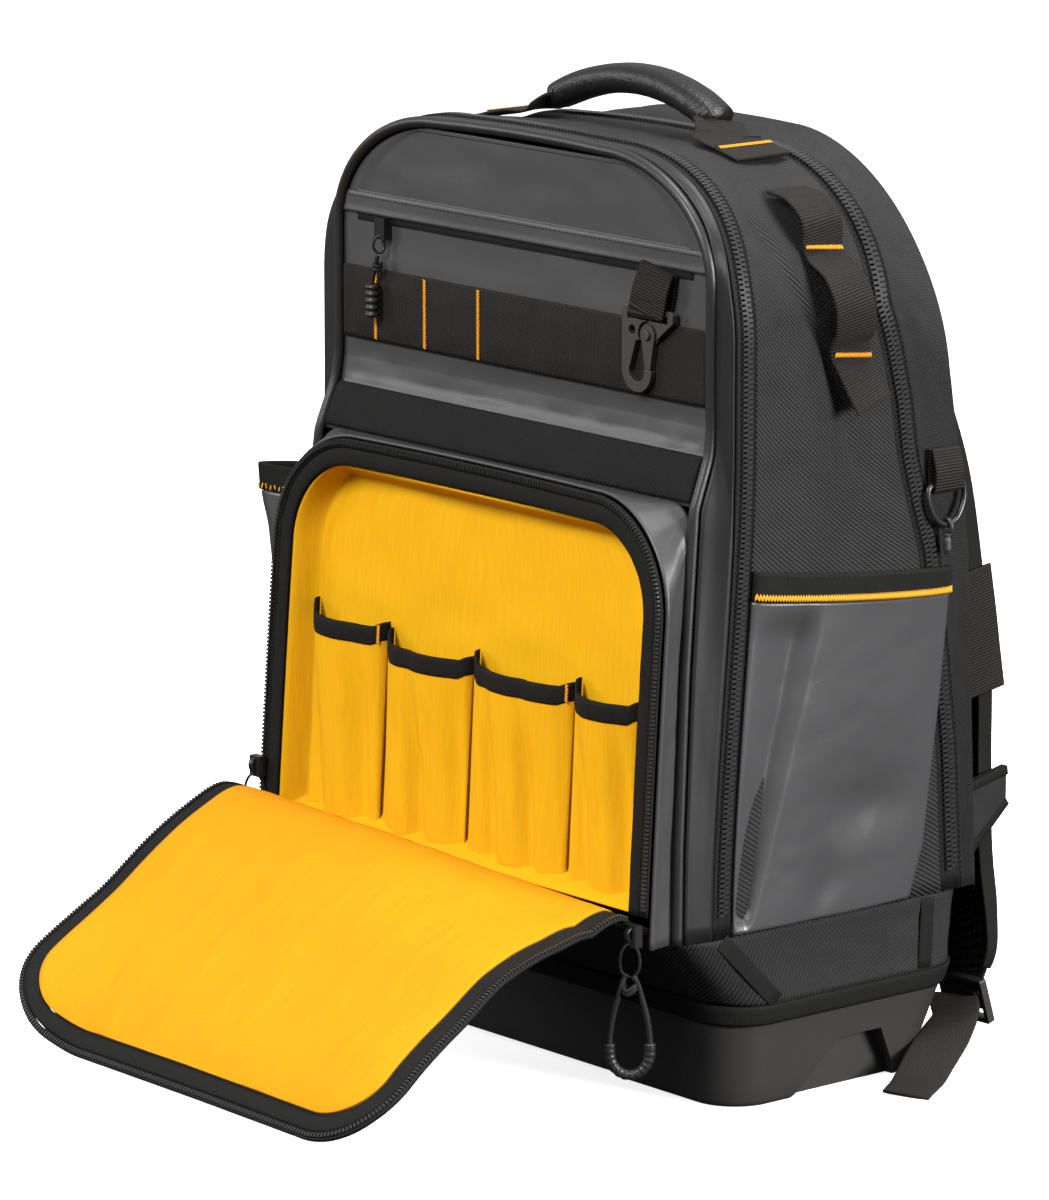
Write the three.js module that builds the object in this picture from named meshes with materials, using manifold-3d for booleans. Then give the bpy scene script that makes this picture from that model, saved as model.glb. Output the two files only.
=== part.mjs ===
// Tool backpack: a free-standing rucksack on a moulded base, front pocket door unzipped and folded down.
// Millimetres. X to the viewer's right, -Y the pocket side, +Y the wearer's side, +Z up, origin under the base.
import * as THREE from "three";
import { mergeVertices } from "three/addons/utils/BufferGeometryUtils.js";
import Module from "manifold-3d";

const wasm = await Module();
wasm.setup();

// Overall body
const bodyWidth = 324; // over the woven sides
const bodyHeight = 478; // floor to the top of the cloth body
const baseDepth = 160; // moulded base, front to back
const baseHeight = 54;
const bandHeight = 39; // woven band above the base
const gap = 0.3; // clearance between separate pieces
const cloth = 1.6; // woven and tarpaulin wall

// Moulded base
const baseWall = 3;
const baseFloor = 4;
const baseCorner = 26; // plan radius
const baseSideTaper = 6; // top edge to bottom edge, each side
const baseFrontTaper = 2;
const baseRearTaper = 22;
const sideNotch = { front: -38, rear: 36, topFront: -6, topRear: 22, height: 28, depth: 8 };
const frontNotch = { half: 70, depth: 14 };
const notchLift = 3; // bottom edge of a notch above the floor
const tapeHeight = 10; // binding tape round the base's rim
const tapeWall = 1.5;

// Front of the body
const panelDepth = 83; // front panel, from the middle of the base
const pocketLean = 29; // how far the panel's edge comes forward at the bottom
const frontZipDepth = 81;
const frontZipLean = 14;
const frontZipRise = 9; // the front zip steps back over the top
const frontZipWidth = 12;
const mainZipWidth = 14;
const zipWall = 3;
const pipingRadius = 2.5;
const pipingInset = 16; // from the body's side to the piping
const pipingFlare = 10; // the panel is wider at the bottom
const backDepth = 60; // back panel's top, from the middle of the base

// Trim on the front panel: the levels hang from the body's top
const weltTop = bodyHeight - 44;
const weltDrop = 11;
const webbingTop = bodyHeight - 83;
const webbingWidth = 38;
const paddedTop = bodyHeight - 145;
const paddedWidth = 22;
const paddedThick = 3;
const trimWall = 1.4;

// Front pocket
const pocketHalf = 152.5; // half width over the zip rim
const pocketFlare = 2.5;
const pocketTop = bodyHeight - 166;
const pocketCorner = 57;
const pocketStand = 26; // zip rim ahead of the panel's edge, at the top
const pocketStandLow = 21; // the same at the bottom
const rimZipWidth = 4.4;
const rimZipThick = 3;
const innerTapeWidth = 8.8;
const linerDepth = 15; // zip rim back to the liner
const linerWall = 1.2;
const toolPocketDepth = 11;
const toolPocketTop = bodyHeight - 266;

// Door of the front pocket
const doorHalf = 150;
const doorCorner = 45;
const doorReach = 208; // hinge out to the free edge, on plan
const doorWall = 2.4;
const doorZipWidth = 4;
const doorTapeWidth = 9.5;
const liningWall = 1;
const doorShift = 16; // the free edge lies this much to the right of the hinge

// Side pockets
const sidePocketTop = bodyHeight - 201;
const sidePocketFall = 14; // the rim drops towards the back
const sidePocketDepth = 13;
const sidePocketGape = 58; // the left pocket's mouth stands open at its front
const sideRimHeight = 15;

// Handle and side loops
const handleRise = 28; // top of the grip over the cloth body
const gripSpan = 122;
const gripDrop = 14; // ends of the grip below its middle
const gripWide = 21;
const gripThick = 15.5;
const handleFoot = 92; // half distance between the two feet
const handleWebbing = 34;
const webbingWall = 2;
const loopWebbing = 26;

// Hook
const hookWidth = 38;
const hookPlate = 3.2;
const hookCentre = 103; // across the front
const slotWidth = 30;
const hookBar = 2.5;
const slotHeight = 4;
const pivotAcross = 19;
const pivotDown = 13.5;
const hubRadius = 5.4;
const rivetRadius = 1.4;
const tabWidth = 26;

// Carrying system
const strapWidth = 66;
const strapThick = 12;
const strapEdge = 140; // outer edge, from the middle
const tailWidth = 25;

const bandTop = baseHeight + bandHeight;
const upperHeight = bodyHeight - bandTop;
const halfWidth = bodyWidth / 2;
const halfDepth = baseDepth / 2;

// Height shares run from the band's top, 0, to the body's top, 1
const frontRows = [
  { at: 0, lean: 1 }, { at: 0.12, lean: 0.93 }, { at: 0.35, lean: 0.7 }, { at: 0.56, lean: 0.41 },
  { at: 0.625, lean: 0.06 }, { at: 0.66, lean: 0 }, { at: 1, lean: 0 },
];
const mainZipRows = [
  { at: 0, back: 0.84 }, { at: 0.2, back: 0.78 }, { at: 0.465, back: 0.61 }, { at: 0.535, back: 0.5 },
  { at: 0.6, back: 0.41 }, { at: 0.67, back: 0.36 }, { at: 0.74, back: 0.275 }, { at: 0.8, back: 0.18 },
  { at: 1, back: 0.175 },
];
const backRows = [
  { at: 0, back: 1.4 }, { at: 0.46, back: 1.27 }, { at: 0.7, back: 1.03 }, { at: 0.85, back: 1 },
  { at: 1, back: 1 },
];
// Door profile: out is a share of its reach, up a share of the band's top height. Tilt and the right
// side's droop are in millimetres
const doorRows = [
  { out: 0, up: 1.02, tilt: 0, droop: 0 }, { out: 0.085, up: 1.11, tilt: 0, droop: 0 },
  { out: 0.15, up: 1.24, tilt: 5, droop: 0 }, { out: 0.24, up: 1.3, tilt: 5.5, droop: 11 },
  { out: 0.35, up: 1.237, tilt: 3, droop: 11 }, { out: 0.455, up: 1.14, tilt: 1, droop: 9 },
  { out: 0.53, up: 1.048, tilt: 0, droop: 7 }, { out: 0.635, up: 0.887, tilt: 0, droop: 5 },
  { out: 0.72, up: 0.769, tilt: 0, droop: 4 }, { out: 0.8, up: 0.65, tilt: 0, droop: 3 },
  { out: 0.92, up: 0.452, tilt: 0, droop: 2 }, { out: 1, up: 0.29, tilt: 0, droop: 2 },
];
// Side pocket's rear edge as a share of half the base's depth
const pocketRearRows = [{ at: 0, back: 0.45 }, { at: 0.15, back: 0.56 }, { at: 0.6, back: 0.69 }, { at: 1, back: 0.78 }];
// Tool pockets, left to right: from and to are shares of the liner's half width, top is a share
const toolRows = [
  { name: "tool_pocket_1", from: -1, to: -0.545, top: 1.03 }, { name: "tool_pocket_2", from: -0.52, to: -0.01, top: 1 },
  { name: "tool_pocket_3", from: 0.015, to: 0.605, top: 1 }, { name: "tool_pocket_4", from: 0.63, to: 1, top: 0.995 },
];

const colours = {
  tarp: { color: 0x4a4a4b, roughness: 0.5 },
  woven: { color: 0x2c2b2b, roughness: 0.9 },
  webbing: { color: 0x2a2826, roughness: 0.85 },
  zip: { color: 0x1b1b1b, roughness: 0.6 },
  yellow: { color: 0xf9b21c, roughness: 0.8 },
  plastic: { color: 0x3b3837, roughness: 0.55 },
  rubber: { color: 0x343435, roughness: 0.6 },
  steel: { color: 0x66625f, roughness: 0.35, metalness: 0.9 },
};
const materials = {};
for (const [name, values] of Object.entries(colours)) {
  materials[name] = new THREE.MeshStandardMaterial(values);
}

const backpack = new THREE.Group();
backpack.name = "tool_backpack";

const mix = (a, b, t) => a + (b - a) * t;
const clamp = (t) => Math.min(1, Math.max(0, t));
const ease = (t) => t * t * (3 - 2 * t);
const point = (x, y, z) => new THREE.Vector3(x, y, z);

function add(name, material, geometry) {
  const mesh = new THREE.Mesh(geometry, materials[material]);
  mesh.name = name;
  backpack.add(mesh);
  return mesh;
}

// Reads one column of a table at a place between its rows
function along(rows, column, at, key = "at") {
  let i = 1;
  while (i < rows.length - 1 && at > rows[i][key]) i++;
  const low = rows[i - 1];
  const high = rows[i];
  return mix(low[column], high[column], clamp((at - low[key]) / (high[key] - low[key])));
}

function volumeOf(geometry) {
  const place = geometry.attributes.position;
  const index = geometry.index.array;
  const corner = [point(), point(), point()];
  let volume = 0;
  for (let i = 0; i < index.length; i += 3) {
    for (let k = 0; k < 3; k++) corner[k].fromBufferAttribute(place, index[i + k]);
    volume += corner[0].dot(corner[1].clone().cross(corner[2])) / 6;
  }
  return volume;
}

// Turns the faces outwards
function facingOut(geometry) {
  if (volumeOf(geometry) < 0) {
    const index = geometry.index.array;
    for (let i = 0; i < index.length; i += 3) [index[i + 1], index[i + 2]] = [index[i + 2], index[i + 1]];
  }
  geometry.computeVertexNormals();
  return geometry;
}

// Closed wall between two grids of points; looped joins the last column to the first
function shell(outer, inner, across, up, looped = false) {
  const columns = looped ? across : across + 1;
  const places = [];
  const index = [];
  for (let i = 0; i < columns; i++) {
    for (const side of [outer, inner]) {
      for (let j = 0; j <= up; j++) places.push(...side(i / across, j / up).toArray());
    }
  }
  const at = (i, side, j) => ((i % columns) * 2 + side) * (up + 1) + j;
  const quad = (a, b, c, d) => index.push(a, b, c, a, c, d);
  for (let i = 0; i < across; i++) {
    for (let j = 0; j < up; j++) {
      quad(at(i, 0, j), at(i + 1, 0, j), at(i + 1, 0, j + 1), at(i, 0, j + 1));
      quad(at(i, 1, j), at(i, 1, j + 1), at(i + 1, 1, j + 1), at(i + 1, 1, j));
    }
    quad(at(i, 0, 0), at(i, 1, 0), at(i + 1, 1, 0), at(i + 1, 0, 0));
    quad(at(i, 0, up), at(i + 1, 0, up), at(i + 1, 1, up), at(i, 1, up));
  }
  if (!looped) {
    for (let j = 0; j < up; j++) {
      quad(at(0, 0, j), at(0, 0, j + 1), at(0, 1, j + 1), at(0, 1, j));
      quad(at(across, 0, j), at(across, 1, j), at(across, 1, j + 1), at(across, 0, j + 1));
    }
  }
  const geometry = new THREE.BufferGeometry();
  geometry.setAttribute("position", new THREE.Float32BufferAttribute(places, 3));
  geometry.setIndex(index);
  return facingOut(geometry);
}

// Wall of even thickness under a surface; a negative thickness goes the other way
function sheet(place, thick, across, up) {
  const halfStep = 0.5;
  const normalAt = (u, v) => {
    const du = halfStep / across;
    const dv = halfStep / up;
    const right = place(clamp(u + du), v).sub(place(clamp(u - du), v));
    const rise = place(u, clamp(v + dv)).sub(place(u, clamp(v - dv)));
    return right.cross(rise).normalize();
  };
  const inner = (u, v) => place(u, v).addScaledVector(normalAt(u, v), -thick);
  return shell(place, inner, across, up);
}

// Webbing along a path, its width along the given direction, thickness centred on the path
function webbing(points, width, thick, widthAt, steps) {
  const path = new THREE.CatmullRomCurve3(points, false, "centripetal");
  const place = (side) => (u, v) => {
    const tangent = path.getTangentAt(u);
    const wide = widthAt(u).clone().normalize();
    const normal = tangent.clone().cross(wide).normalize();
    return path.getPointAt(u).addScaledVector(wide, (v - 0.5) * width).addScaledVector(normal, (side * thick) / 2);
  };
  return shell(place(1), place(-1), steps, 1);
}

// Round rod along a path
function rod(points, radius, sides, steps) {
  const path = new THREE.CatmullRomCurve3(points, false, "centripetal");
  const section = new THREE.Shape();
  for (let i = 0; i < sides; i++) {
    const angle = ((i + 0.5) / sides) * Math.PI * 2;
    const x = Math.cos(angle) * radius;
    const y = Math.sin(angle) * radius;
    if (i) section.lineTo(x, y);
    else section.moveTo(x, y);
  }
  section.closePath();
  return welded(new THREE.ExtrudeGeometry(section, { steps, extrudePath: path, bevelEnabled: false }));
}

// Closed wire ring through points that lie in one plane with the given normal
function wireRing(points, radius, normal, sides, steps) {
  const path = new THREE.CatmullRomCurve3(points, true, "centripetal");
  const places = [];
  const index = [];
  for (let i = 0; i < steps; i++) {
    const tangent = path.getTangentAt(i / steps);
    const across = tangent.clone().cross(normal).normalize();
    for (let k = 0; k < sides; k++) {
      const angle = ((k + 0.5) / sides) * Math.PI * 2;
      const p = path.getPointAt(i / steps).addScaledVector(across, Math.cos(angle) * radius);
      places.push(...p.addScaledVector(normal, Math.sin(angle) * radius).toArray());
      const next = ((i + 1) % steps) * sides;
      const a = i * sides + k;
      const b = i * sides + ((k + 1) % sides);
      const c = next + ((k + 1) % sides);
      const d = next + k;
      index.push(a, b, c, a, c, d);
    }
  }
  const geometry = new THREE.BufferGeometry();
  geometry.setAttribute("position", new THREE.Float32BufferAttribute(places, 3));
  geometry.setIndex(index);
  return facingOut(geometry);
}

// Padded strap or sleeve: a rounded flat section along a path, its width and thickness changing on the way
function padded(points, widthAt, thickAt, wide, steps) {
  const path = new THREE.CatmullRomCurve3(points, false, "centripetal");
  const section = [[1, 0.35], [0.86, 1], [-0.86, 1], [-1, 0.35], [-1, -0.35], [-0.86, -1], [0.86, -1], [1, -0.35]];
  const rings = [];
  for (let i = 0; i <= steps; i++) {
    const u = i / steps;
    const centre = path.getPointAt(u);
    const normal = path.getTangentAt(u).cross(wide).normalize();
    rings.push(section.map(([w, t]) =>
      centre.clone().addScaledVector(wide, (w * widthAt(u)) / 2).addScaledVector(normal, (t * thickAt(u)) / 2)));
  }
  return loft(rings);
}

function welded(geometry) {
  const bare = geometry.clone();
  bare.deleteAttribute("normal");
  bare.deleteAttribute("uv");
  return facingOut(mergeVertices(bare, 1e-4));
}

function toSolid(geometry) {
  const merged = welded(geometry);
  return new wasm.Manifold(
    new wasm.Mesh({
      numProp: 3,
      vertProperties: new Float32Array(merged.attributes.position.array),
      triVerts: new Uint32Array(merged.index.array),
    }),
  );
}

function fromSolid(solid) {
  const mesh = solid.getMesh();
  const geometry = new THREE.BufferGeometry();
  geometry.setAttribute("position", new THREE.Float32BufferAttribute(mesh.vertProperties, 3));
  geometry.setIndex(new THREE.Uint32BufferAttribute(mesh.triVerts, 1));
  return facingOut(geometry);
}

// Solid between flat rings of as many points, closed by a fan at each end
function loft(rings) {
  const count = rings[0].length;
  const places = [];
  const index = [];
  for (const ring of rings) for (const p of ring) places.push(...p.toArray());
  const last = (rings.length - 1) * count;
  for (let k = 0; k < rings.length - 1; k++) {
    for (let i = 0; i < count; i++) {
      const a = k * count + i;
      const b = k * count + ((i + 1) % count);
      index.push(a, b, b + count, a, b + count, a + count);
    }
  }
  for (let i = 1; i < count - 1; i++) {
    index.push(0, i + 1, i);
    index.push(last, last + i, last + i + 1);
  }
  const geometry = new THREE.BufferGeometry();
  geometry.setAttribute("position", new THREE.Float32BufferAttribute(places, 3));
  geometry.setIndex(index);
  return facingOut(geometry);
}

function box(x0, x1, y0, y1, z0, z1) {
  const geometry = new THREE.BoxGeometry(x1 - x0, y1 - y0, z1 - z0);
  geometry.translate((x0 + x1) / 2, (y0 + y1) / 2, (z0 + z1) / 2);
  return geometry;
}

const heightShare = (z) => clamp((z - bandTop) / upperHeight);
const edgeY = (z) => -(panelDepth + pocketLean * along(frontRows, "lean", heightShare(z)));
const cornerStart = 0.82; // share of the height where the arch begins to turn
const frontZipY = (z) => {
  const low = ease(clamp(1 - heightShare(z) / 0.64));
  const high = ease(clamp((heightShare(z) - cornerStart) / (1 - cornerStart)));
  return -frontZipDepth - frontZipLean * low + frontZipRise * high;
};
const mainZipY = (z) => halfDepth * along(mainZipRows, "back", heightShare(z));
const backY = (z) => backDepth * along(backRows, "back", heightShare(z));

// Arch outlines seen from the front: straight sides, superelliptic shoulders, a slightly crowned top
const straightSteps = 6;
const cornerSteps = 6;
const topSteps = 3;
const archSteps = 2 * (straightSteps + cornerSteps + topSteps);
const cornerAt = (2 * straightSteps) / archSteps;
const topAt = (2 * (straightSteps + cornerSteps)) / archSteps;
const pipingForm = {
  half: halfWidth - pipingInset, top: bodyHeight - 2, wide: 80, high: 60, power: 2, flare: pipingFlare, crown: 1.5,
};
const frontZipForm = { half: halfWidth, top: bodyHeight, wide: 100, high: 90, power: 2.2, flare: 0, crown: 1 };
const mainZipForm = { half: halfWidth, top: bodyHeight - 6, wide: 92, high: 86, power: 2.1, flare: 0, crown: 2 };
const backForm = { half: halfWidth, top: bodyHeight - 3, wide: 115, high: 118, power: 1.85, flare: 0, crown: 1 };
const rimForm = {
  half: pocketHalf, top: pocketTop, wide: pocketCorner, high: pocketCorner, power: 2, flare: pocketFlare, crown: 1,
};
const flareTop = bandTop + upperHeight * 0.69;

const flareAt = (form, z) => form.flare * clamp((flareTop - z) / (flareTop - bandTop));

function archPoint(form, u, inset = 0, floor = bandTop + gap) {
  const side = u < 0.5 ? -1 : 1;
  const t = 1 - Math.abs(2 * u - 1);
  const wide = form.wide;
  let x;
  let z;
  if (t <= cornerAt) {
    z = mix(floor, form.top - form.high, t / cornerAt);
    x = form.half + flareAt(form, z);
  } else if (t <= topAt) {
    const angle = ((t - cornerAt) / (topAt - cornerAt)) * (Math.PI / 2);
    z = form.top - form.high + form.high * Math.pow(Math.sin(angle), 2 / form.power);
    x = form.half - wide + wide * Math.pow(Math.max(0, Math.cos(angle)), 2 / form.power) + flareAt(form, z);
  } else {
    const s = (t - topAt) / (1 - topAt);
    x = (form.half - wide) * (1 - s);
    z = form.top + form.crown * (1 - (1 - s) * (1 - s));
  }
  const normal = inset ? archNormal(form, u, floor) : { x: 0, z: 0 };
  return { x: side * x - normal.x * inset, z: z - normal.z * inset };
}

function archNormal(form, u, floor) {
  const step = 0.5 / archSteps;
  const before = archPoint(form, clamp(u - step), 0, floor);
  const after = archPoint(form, clamp(u + step), 0, floor);
  const length = Math.hypot(after.x - before.x, after.z - before.z);
  return { x: -(after.z - before.z) / length, z: (after.x - before.x) / length };
}

// Half width of an arch at a height
function halfAt(form, z) {
  const over = clamp((z - (form.top - form.high)) / form.high);
  return form.half - form.wide + form.wide * Math.pow(1 - Math.pow(over, form.power), 1 / form.power) + flareAt(form, z);
}

function blendForm(a, b, t) {
  const form = {};
  for (const key of Object.keys(a)) form[key] = mix(a[key], b[key], t);
  return form;
}

// Wall of an arch between a front and a rear line
function archWall(frontForm, rearForm, frontY, rearY, wall, up) {
  const place = (inset) => (u, v) => {
    const p = archPoint(blendForm(frontForm, rearForm, v), u, inset);
    return point(p.x, mix(frontY(p.z) + gap / 2, rearY(p.z) - gap / 2, v), p.z);
  };
  return shell(place(0), place(wall), archSteps, up);
}

// Plan outlines of the base and band: rounded rectangles with their own corner radii, run round once
const planSide = 2;
const planCorner = 4;
const planSteps = 4 * (planSide + planCorner);
function planRing(form, inset, z) {
  const ring = [];
  const half = form.half - inset;
  const front = form.front - inset;
  const rear = form.rear - inset;
  const wide = Math.max(1, form.wide - inset);
  const deep = Math.max(1, form.deep - inset);
  const corners = [
    { x: half, y: -front, turn: -90, back: -1 }, { x: half, y: rear, turn: 0, back: 1 },
    { x: -half, y: rear, turn: 90, back: 1 }, { x: -half, y: -front, turn: 180, back: -1 },
  ];
  corners.forEach((corner, k) => {
    const frontCorner = corner.back < 0;
    const rx = frontCorner ? wide : baseCorner - inset;
    const ry = frontCorner ? deep : baseCorner - inset;
    const cx = corner.x - Math.sign(corner.x) * rx;
    const cy = corner.y - corner.back * ry;
    for (let i = 0; i <= planCorner; i++) {
      const angle = THREE.MathUtils.degToRad(corner.turn + (90 * i) / planCorner);
      ring.push(point(cx + rx * Math.cos(angle), cy + ry * Math.sin(angle), z));
    }
    const next = corners[(k + 1) % 4];
    const nextFront = next.back < 0;
    const nx = nextFront ? wide : baseCorner - inset;
    const ny = nextFront ? deep : baseCorner - inset;
    const angle = THREE.MathUtils.degToRad(next.turn);
    const start = ring[ring.length - 1];
    const end = point(
      next.x - Math.sign(next.x) * nx + nx * Math.cos(angle),
      next.y - next.back * ny + ny * Math.sin(angle),
      z,
    );
    for (let i = 1; i < planSide; i++) ring.push(start.clone().lerp(end, i / planSide));
  });
  return ring;
}

const baseTopForm = { half: halfWidth, front: halfDepth, rear: halfDepth, wide: baseCorner, deep: baseCorner };
const baseLowForm = {
  half: halfWidth - baseSideTaper, front: halfDepth - baseFrontTaper, rear: halfDepth - baseRearTaper,
  wide: baseCorner, deep: baseCorner,
};
const bandTopForm = {
  half: halfWidth, front: panelDepth + pocketLean + 2, rear: backDepth * backRows[0].back, wide: 14, deep: 20,
};
const baseFormAt = (z) => blendForm(baseLowForm, baseTopForm, z / baseHeight);

function makeBase() {
  const levels = [0, baseHeight * 0.5, baseHeight];
  const outside = toSolid(loft(levels.map((z) => planRing(baseFormAt(z), 0, z))));
  const hollowLevels = [baseFloor, baseHeight * 0.5, baseHeight + 1];
  const hollow = toSolid(loft(hollowLevels.map((z) => planRing(baseFormAt(z), baseWall, z))));
  const below = -1;
  const sideCut = (side, grow) => {
    const shape = new THREE.Shape();
    shape.moveTo(sideNotch.front - grow, below);
    shape.lineTo(sideNotch.topFront - grow / 2, sideNotch.height + grow);
    shape.lineTo(sideNotch.topRear + grow / 2, sideNotch.height + grow);
    shape.lineTo(sideNotch.rear + grow, below);
    const depth = sideNotch.depth + baseSideTaper + grow;
    const cut = new THREE.ExtrudeGeometry(shape, { depth, bevelEnabled: false });
    cut.rotateX(Math.PI / 2);
    cut.rotateZ(Math.PI / 2);
    const inner = halfWidth - baseSideTaper - sideNotch.depth - grow;
    cut.translate(inner, 0, 0);
    if (side < 0) cut.scale(-1, 1, 1);
    return toSolid(cut);
  };
  const footCut = (half, y0, y1, grow) =>
    toSolid(box(-half - grow, half + grow, y0 - grow, y1 + grow, below, notchLift + grow));
  let cuts = footCut(frontNotch.half, -halfDepth - 5, -halfDepth + frontNotch.depth, 0);
  cuts = cuts.add(footCut(frontNotch.half, halfDepth - baseRearTaper - frontNotch.depth, halfDepth, 0));
  let bumps = footCut(frontNotch.half, -halfDepth - 5, -halfDepth + frontNotch.depth, baseWall);
  bumps = bumps.add(footCut(frontNotch.half, halfDepth - baseRearTaper - frontNotch.depth, halfDepth, baseWall));
  for (const side of [-1, 1]) {
    cuts = cuts.add(sideCut(side, 0));
    bumps = bumps.add(sideCut(side, baseWall));
  }
  return fromSolid(outside.subtract(cuts).subtract(hollow.subtract(bumps)));
}
add("base", "plastic", makeBase());

// Ring of cloth round the body between two plan outlines
function bandShell(lowForm, highForm, z0, z1, offset, wall, up) {
  const place = (inset) => (u, v) => {
    const ring = planRing(blendForm(lowForm, highForm, v), inset - offset, mix(z0, z1, v));
    return ring[Math.round(u * planSteps) % planSteps];
  };
  return shell(place(0), place(wall), planSteps, up, true);
}
const tapeLow = baseHeight - tapeHeight;
add("base_binding", "webbing",
  bandShell(baseFormAt(tapeLow), baseTopForm, tapeLow, baseHeight, gap + tapeWall, tapeWall, 1));
add("woven_band", "woven", bandShell(baseTopForm, bandTopForm, baseHeight + gap, bandTop, 0, cloth, 2));

// Side walls and zips, front to back
const zipFront = (z) => frontZipY(z);
const zipRear = (z) => frontZipY(z) + frontZipWidth;
const mainFront = (z) => mainZipY(z) - mainZipWidth / 2;
const mainRear = (z) => mainZipY(z) + mainZipWidth / 2;
add("front_zip", "zip", archWall(frontZipForm, frontZipForm, zipFront, zipRear, zipWall, 1));
add("side_gusset", "woven", archWall(frontZipForm, mainZipForm, zipRear, mainFront, cloth, 2));
add("main_zip", "zip", archWall(mainZipForm, mainZipForm, mainFront, mainRear, zipWall, 1));
add("back_gusset", "woven", archWall(mainZipForm, backForm, mainRear, backY, cloth, 1));

// Tarpaulin strip between the piping and the front zip
function makeFrontStrip() {
  const clear = pipingRadius + gap;
  const place = (u, v) => {
    const side = Math.abs(archNormal(pipingForm, u, bandTop + gap).x);
    const a = archPoint(pipingForm, u, -clear * side);
    const b = archPoint(frontZipForm, u, cloth);
    const near = point(a.x, edgeY(a.z) + clear * (1 - side) + 0.5, a.z);
    return near.lerp(point(b.x, frontZipY(b.z) - gap / 2, b.z), v);
  };
  return sheet(place, -cloth, archSteps, 1);
}
add("front_strip", "tarp", makeFrontStrip());

// Upright cloth panel filling an arch
function archPanel(form, inset, levels, y, wall, across) {
  const last = levels.length - 1;
  const place = (offset) => (u, v) => {
    const z = levels[Math.round(v * last)];
    const half = halfAt(form, Math.min(z + (inset * Math.round(v * last)) / last, form.top)) - inset;
    return point((u * 2 - 1) * half, y(z) + offset, z);
  };
  return shell(place(0), place(wall), across, last);
}
// Levels of a panel: the given ones, then closer and closer steps over its shoulders to the top
function panelLevels(form, inset, straight) {
  const levels = [...straight];
  for (const share of [0, 0.45, 0.7, 0.86, 0.95, 1]) {
    levels.push(mix(form.top - form.high, form.top - inset, share));
  }
  return levels;
}
const panelInset = pipingRadius + 5 * gap;
const panelLow = paddedTop - paddedWidth - 2;
const leanEnd = bandTop + upperHeight * frontRows[4].at;
const flatStart = bandTop + upperHeight * frontRows[5].at;
const frontLevels = panelLevels(pipingForm, panelInset, [panelLow, leanEnd, flatStart]);
const backLow = backRows.slice(0, 2).map((row) => bandTop + gap + upperHeight * row.at);
const backLevels = panelLevels(backForm, cloth + 2 * gap, backLow);
const backWall = 7; // padded back
add("front_panel", "tarp", archPanel(pipingForm, panelInset, frontLevels, edgeY, cloth, 8));
add("back_panel", "woven", archPanel(backForm, cloth + 2 * gap, backLevels, backY, -backWall, 6));

function makePiping() {
  const points = [];
  for (let i = 0; i <= archSteps; i++) {
    const p = archPoint(pipingForm, i / archSteps);
    points.push(point(p.x, edgeY(p.z) - 1.2, p.z));
  }
  return rod(points, pipingRadius, 6, archSteps);
}
add("front_piping", "rubber", makePiping());

// Flat trim across the front panel
function trim(top, width, wall, endInset, bulge = 0) {
  const place = (offset) => (u, v) => {
    const z = mix(top - width, top, v);
    const half = halfAt(pipingForm, z) - panelInset - endInset;
    const puff = bulge * Math.sin(Math.PI * v);
    return point((u * 2 - 1) * half, edgeY(z) - gap - offset - (offset ? puff : 0), z);
  };
  return shell(place(wall), place(0), 8, bulge ? 3 : 2);
}
add("welt_flap", "tarp", trim(weltTop, weltDrop, trimWall, 3));
add("webbing_band", "webbing", trim(webbingTop, webbingWidth, trimWall, 1));
add("padded_band", "woven", trim(paddedTop, paddedWidth, paddedThick - 1, 1, 1));

// Front pocket: bellows, zip rim, inner binding, liner and tool pockets
const rimY = (z) => {
  const t = clamp((pocketTop - z) / (pocketTop - bandTop));
  return -(panelDepth + 7 + pocketStand) - (pocketLean + pocketStandLow - pocketStand - 7) * Math.pow(t, 0.8);
};
const rimLow = bandTop * 1.02 + 15; // the rim ends over the door's hinge
function makeBellows() {
  const edgeForm = { ...pipingForm, half: pipingForm.half - panelInset, top: panelLow - gap, wide: 12, high: 12, crown: 0 };
  const place = (u, v) => {
    const a = archPoint(edgeForm, u);
    const b = archPoint(rimForm, u);
    const near = point(a.x, edgeY(a.z), a.z);
    return near.lerp(point(b.x, rimY(b.z) + rimZipThick / 2 + 2 * gap, b.z), v);
  };
  return sheet(place, -cloth, archSteps, 1);
}
add("pocket_bellows", "tarp", makeBellows());

function rimBand(from, to, thick) {
  const place = (offset) => (u, v) => {
    const p = archPoint(rimForm, u, mix(from, to, v), rimLow);
    return point(p.x, rimY(p.z) + offset, p.z);
  };
  return shell(place(-thick / 2), place(thick / 2), archSteps, 1);
}
const rimEdge = gap + rimZipWidth;
const linerInset = rimEdge + gap + innerTapeWidth;
add("pocket_zip", "zip", rimBand(gap, rimEdge, rimZipThick));
add("pocket_binding", "webbing", rimBand(rimEdge + gap, linerInset, cloth));

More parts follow.
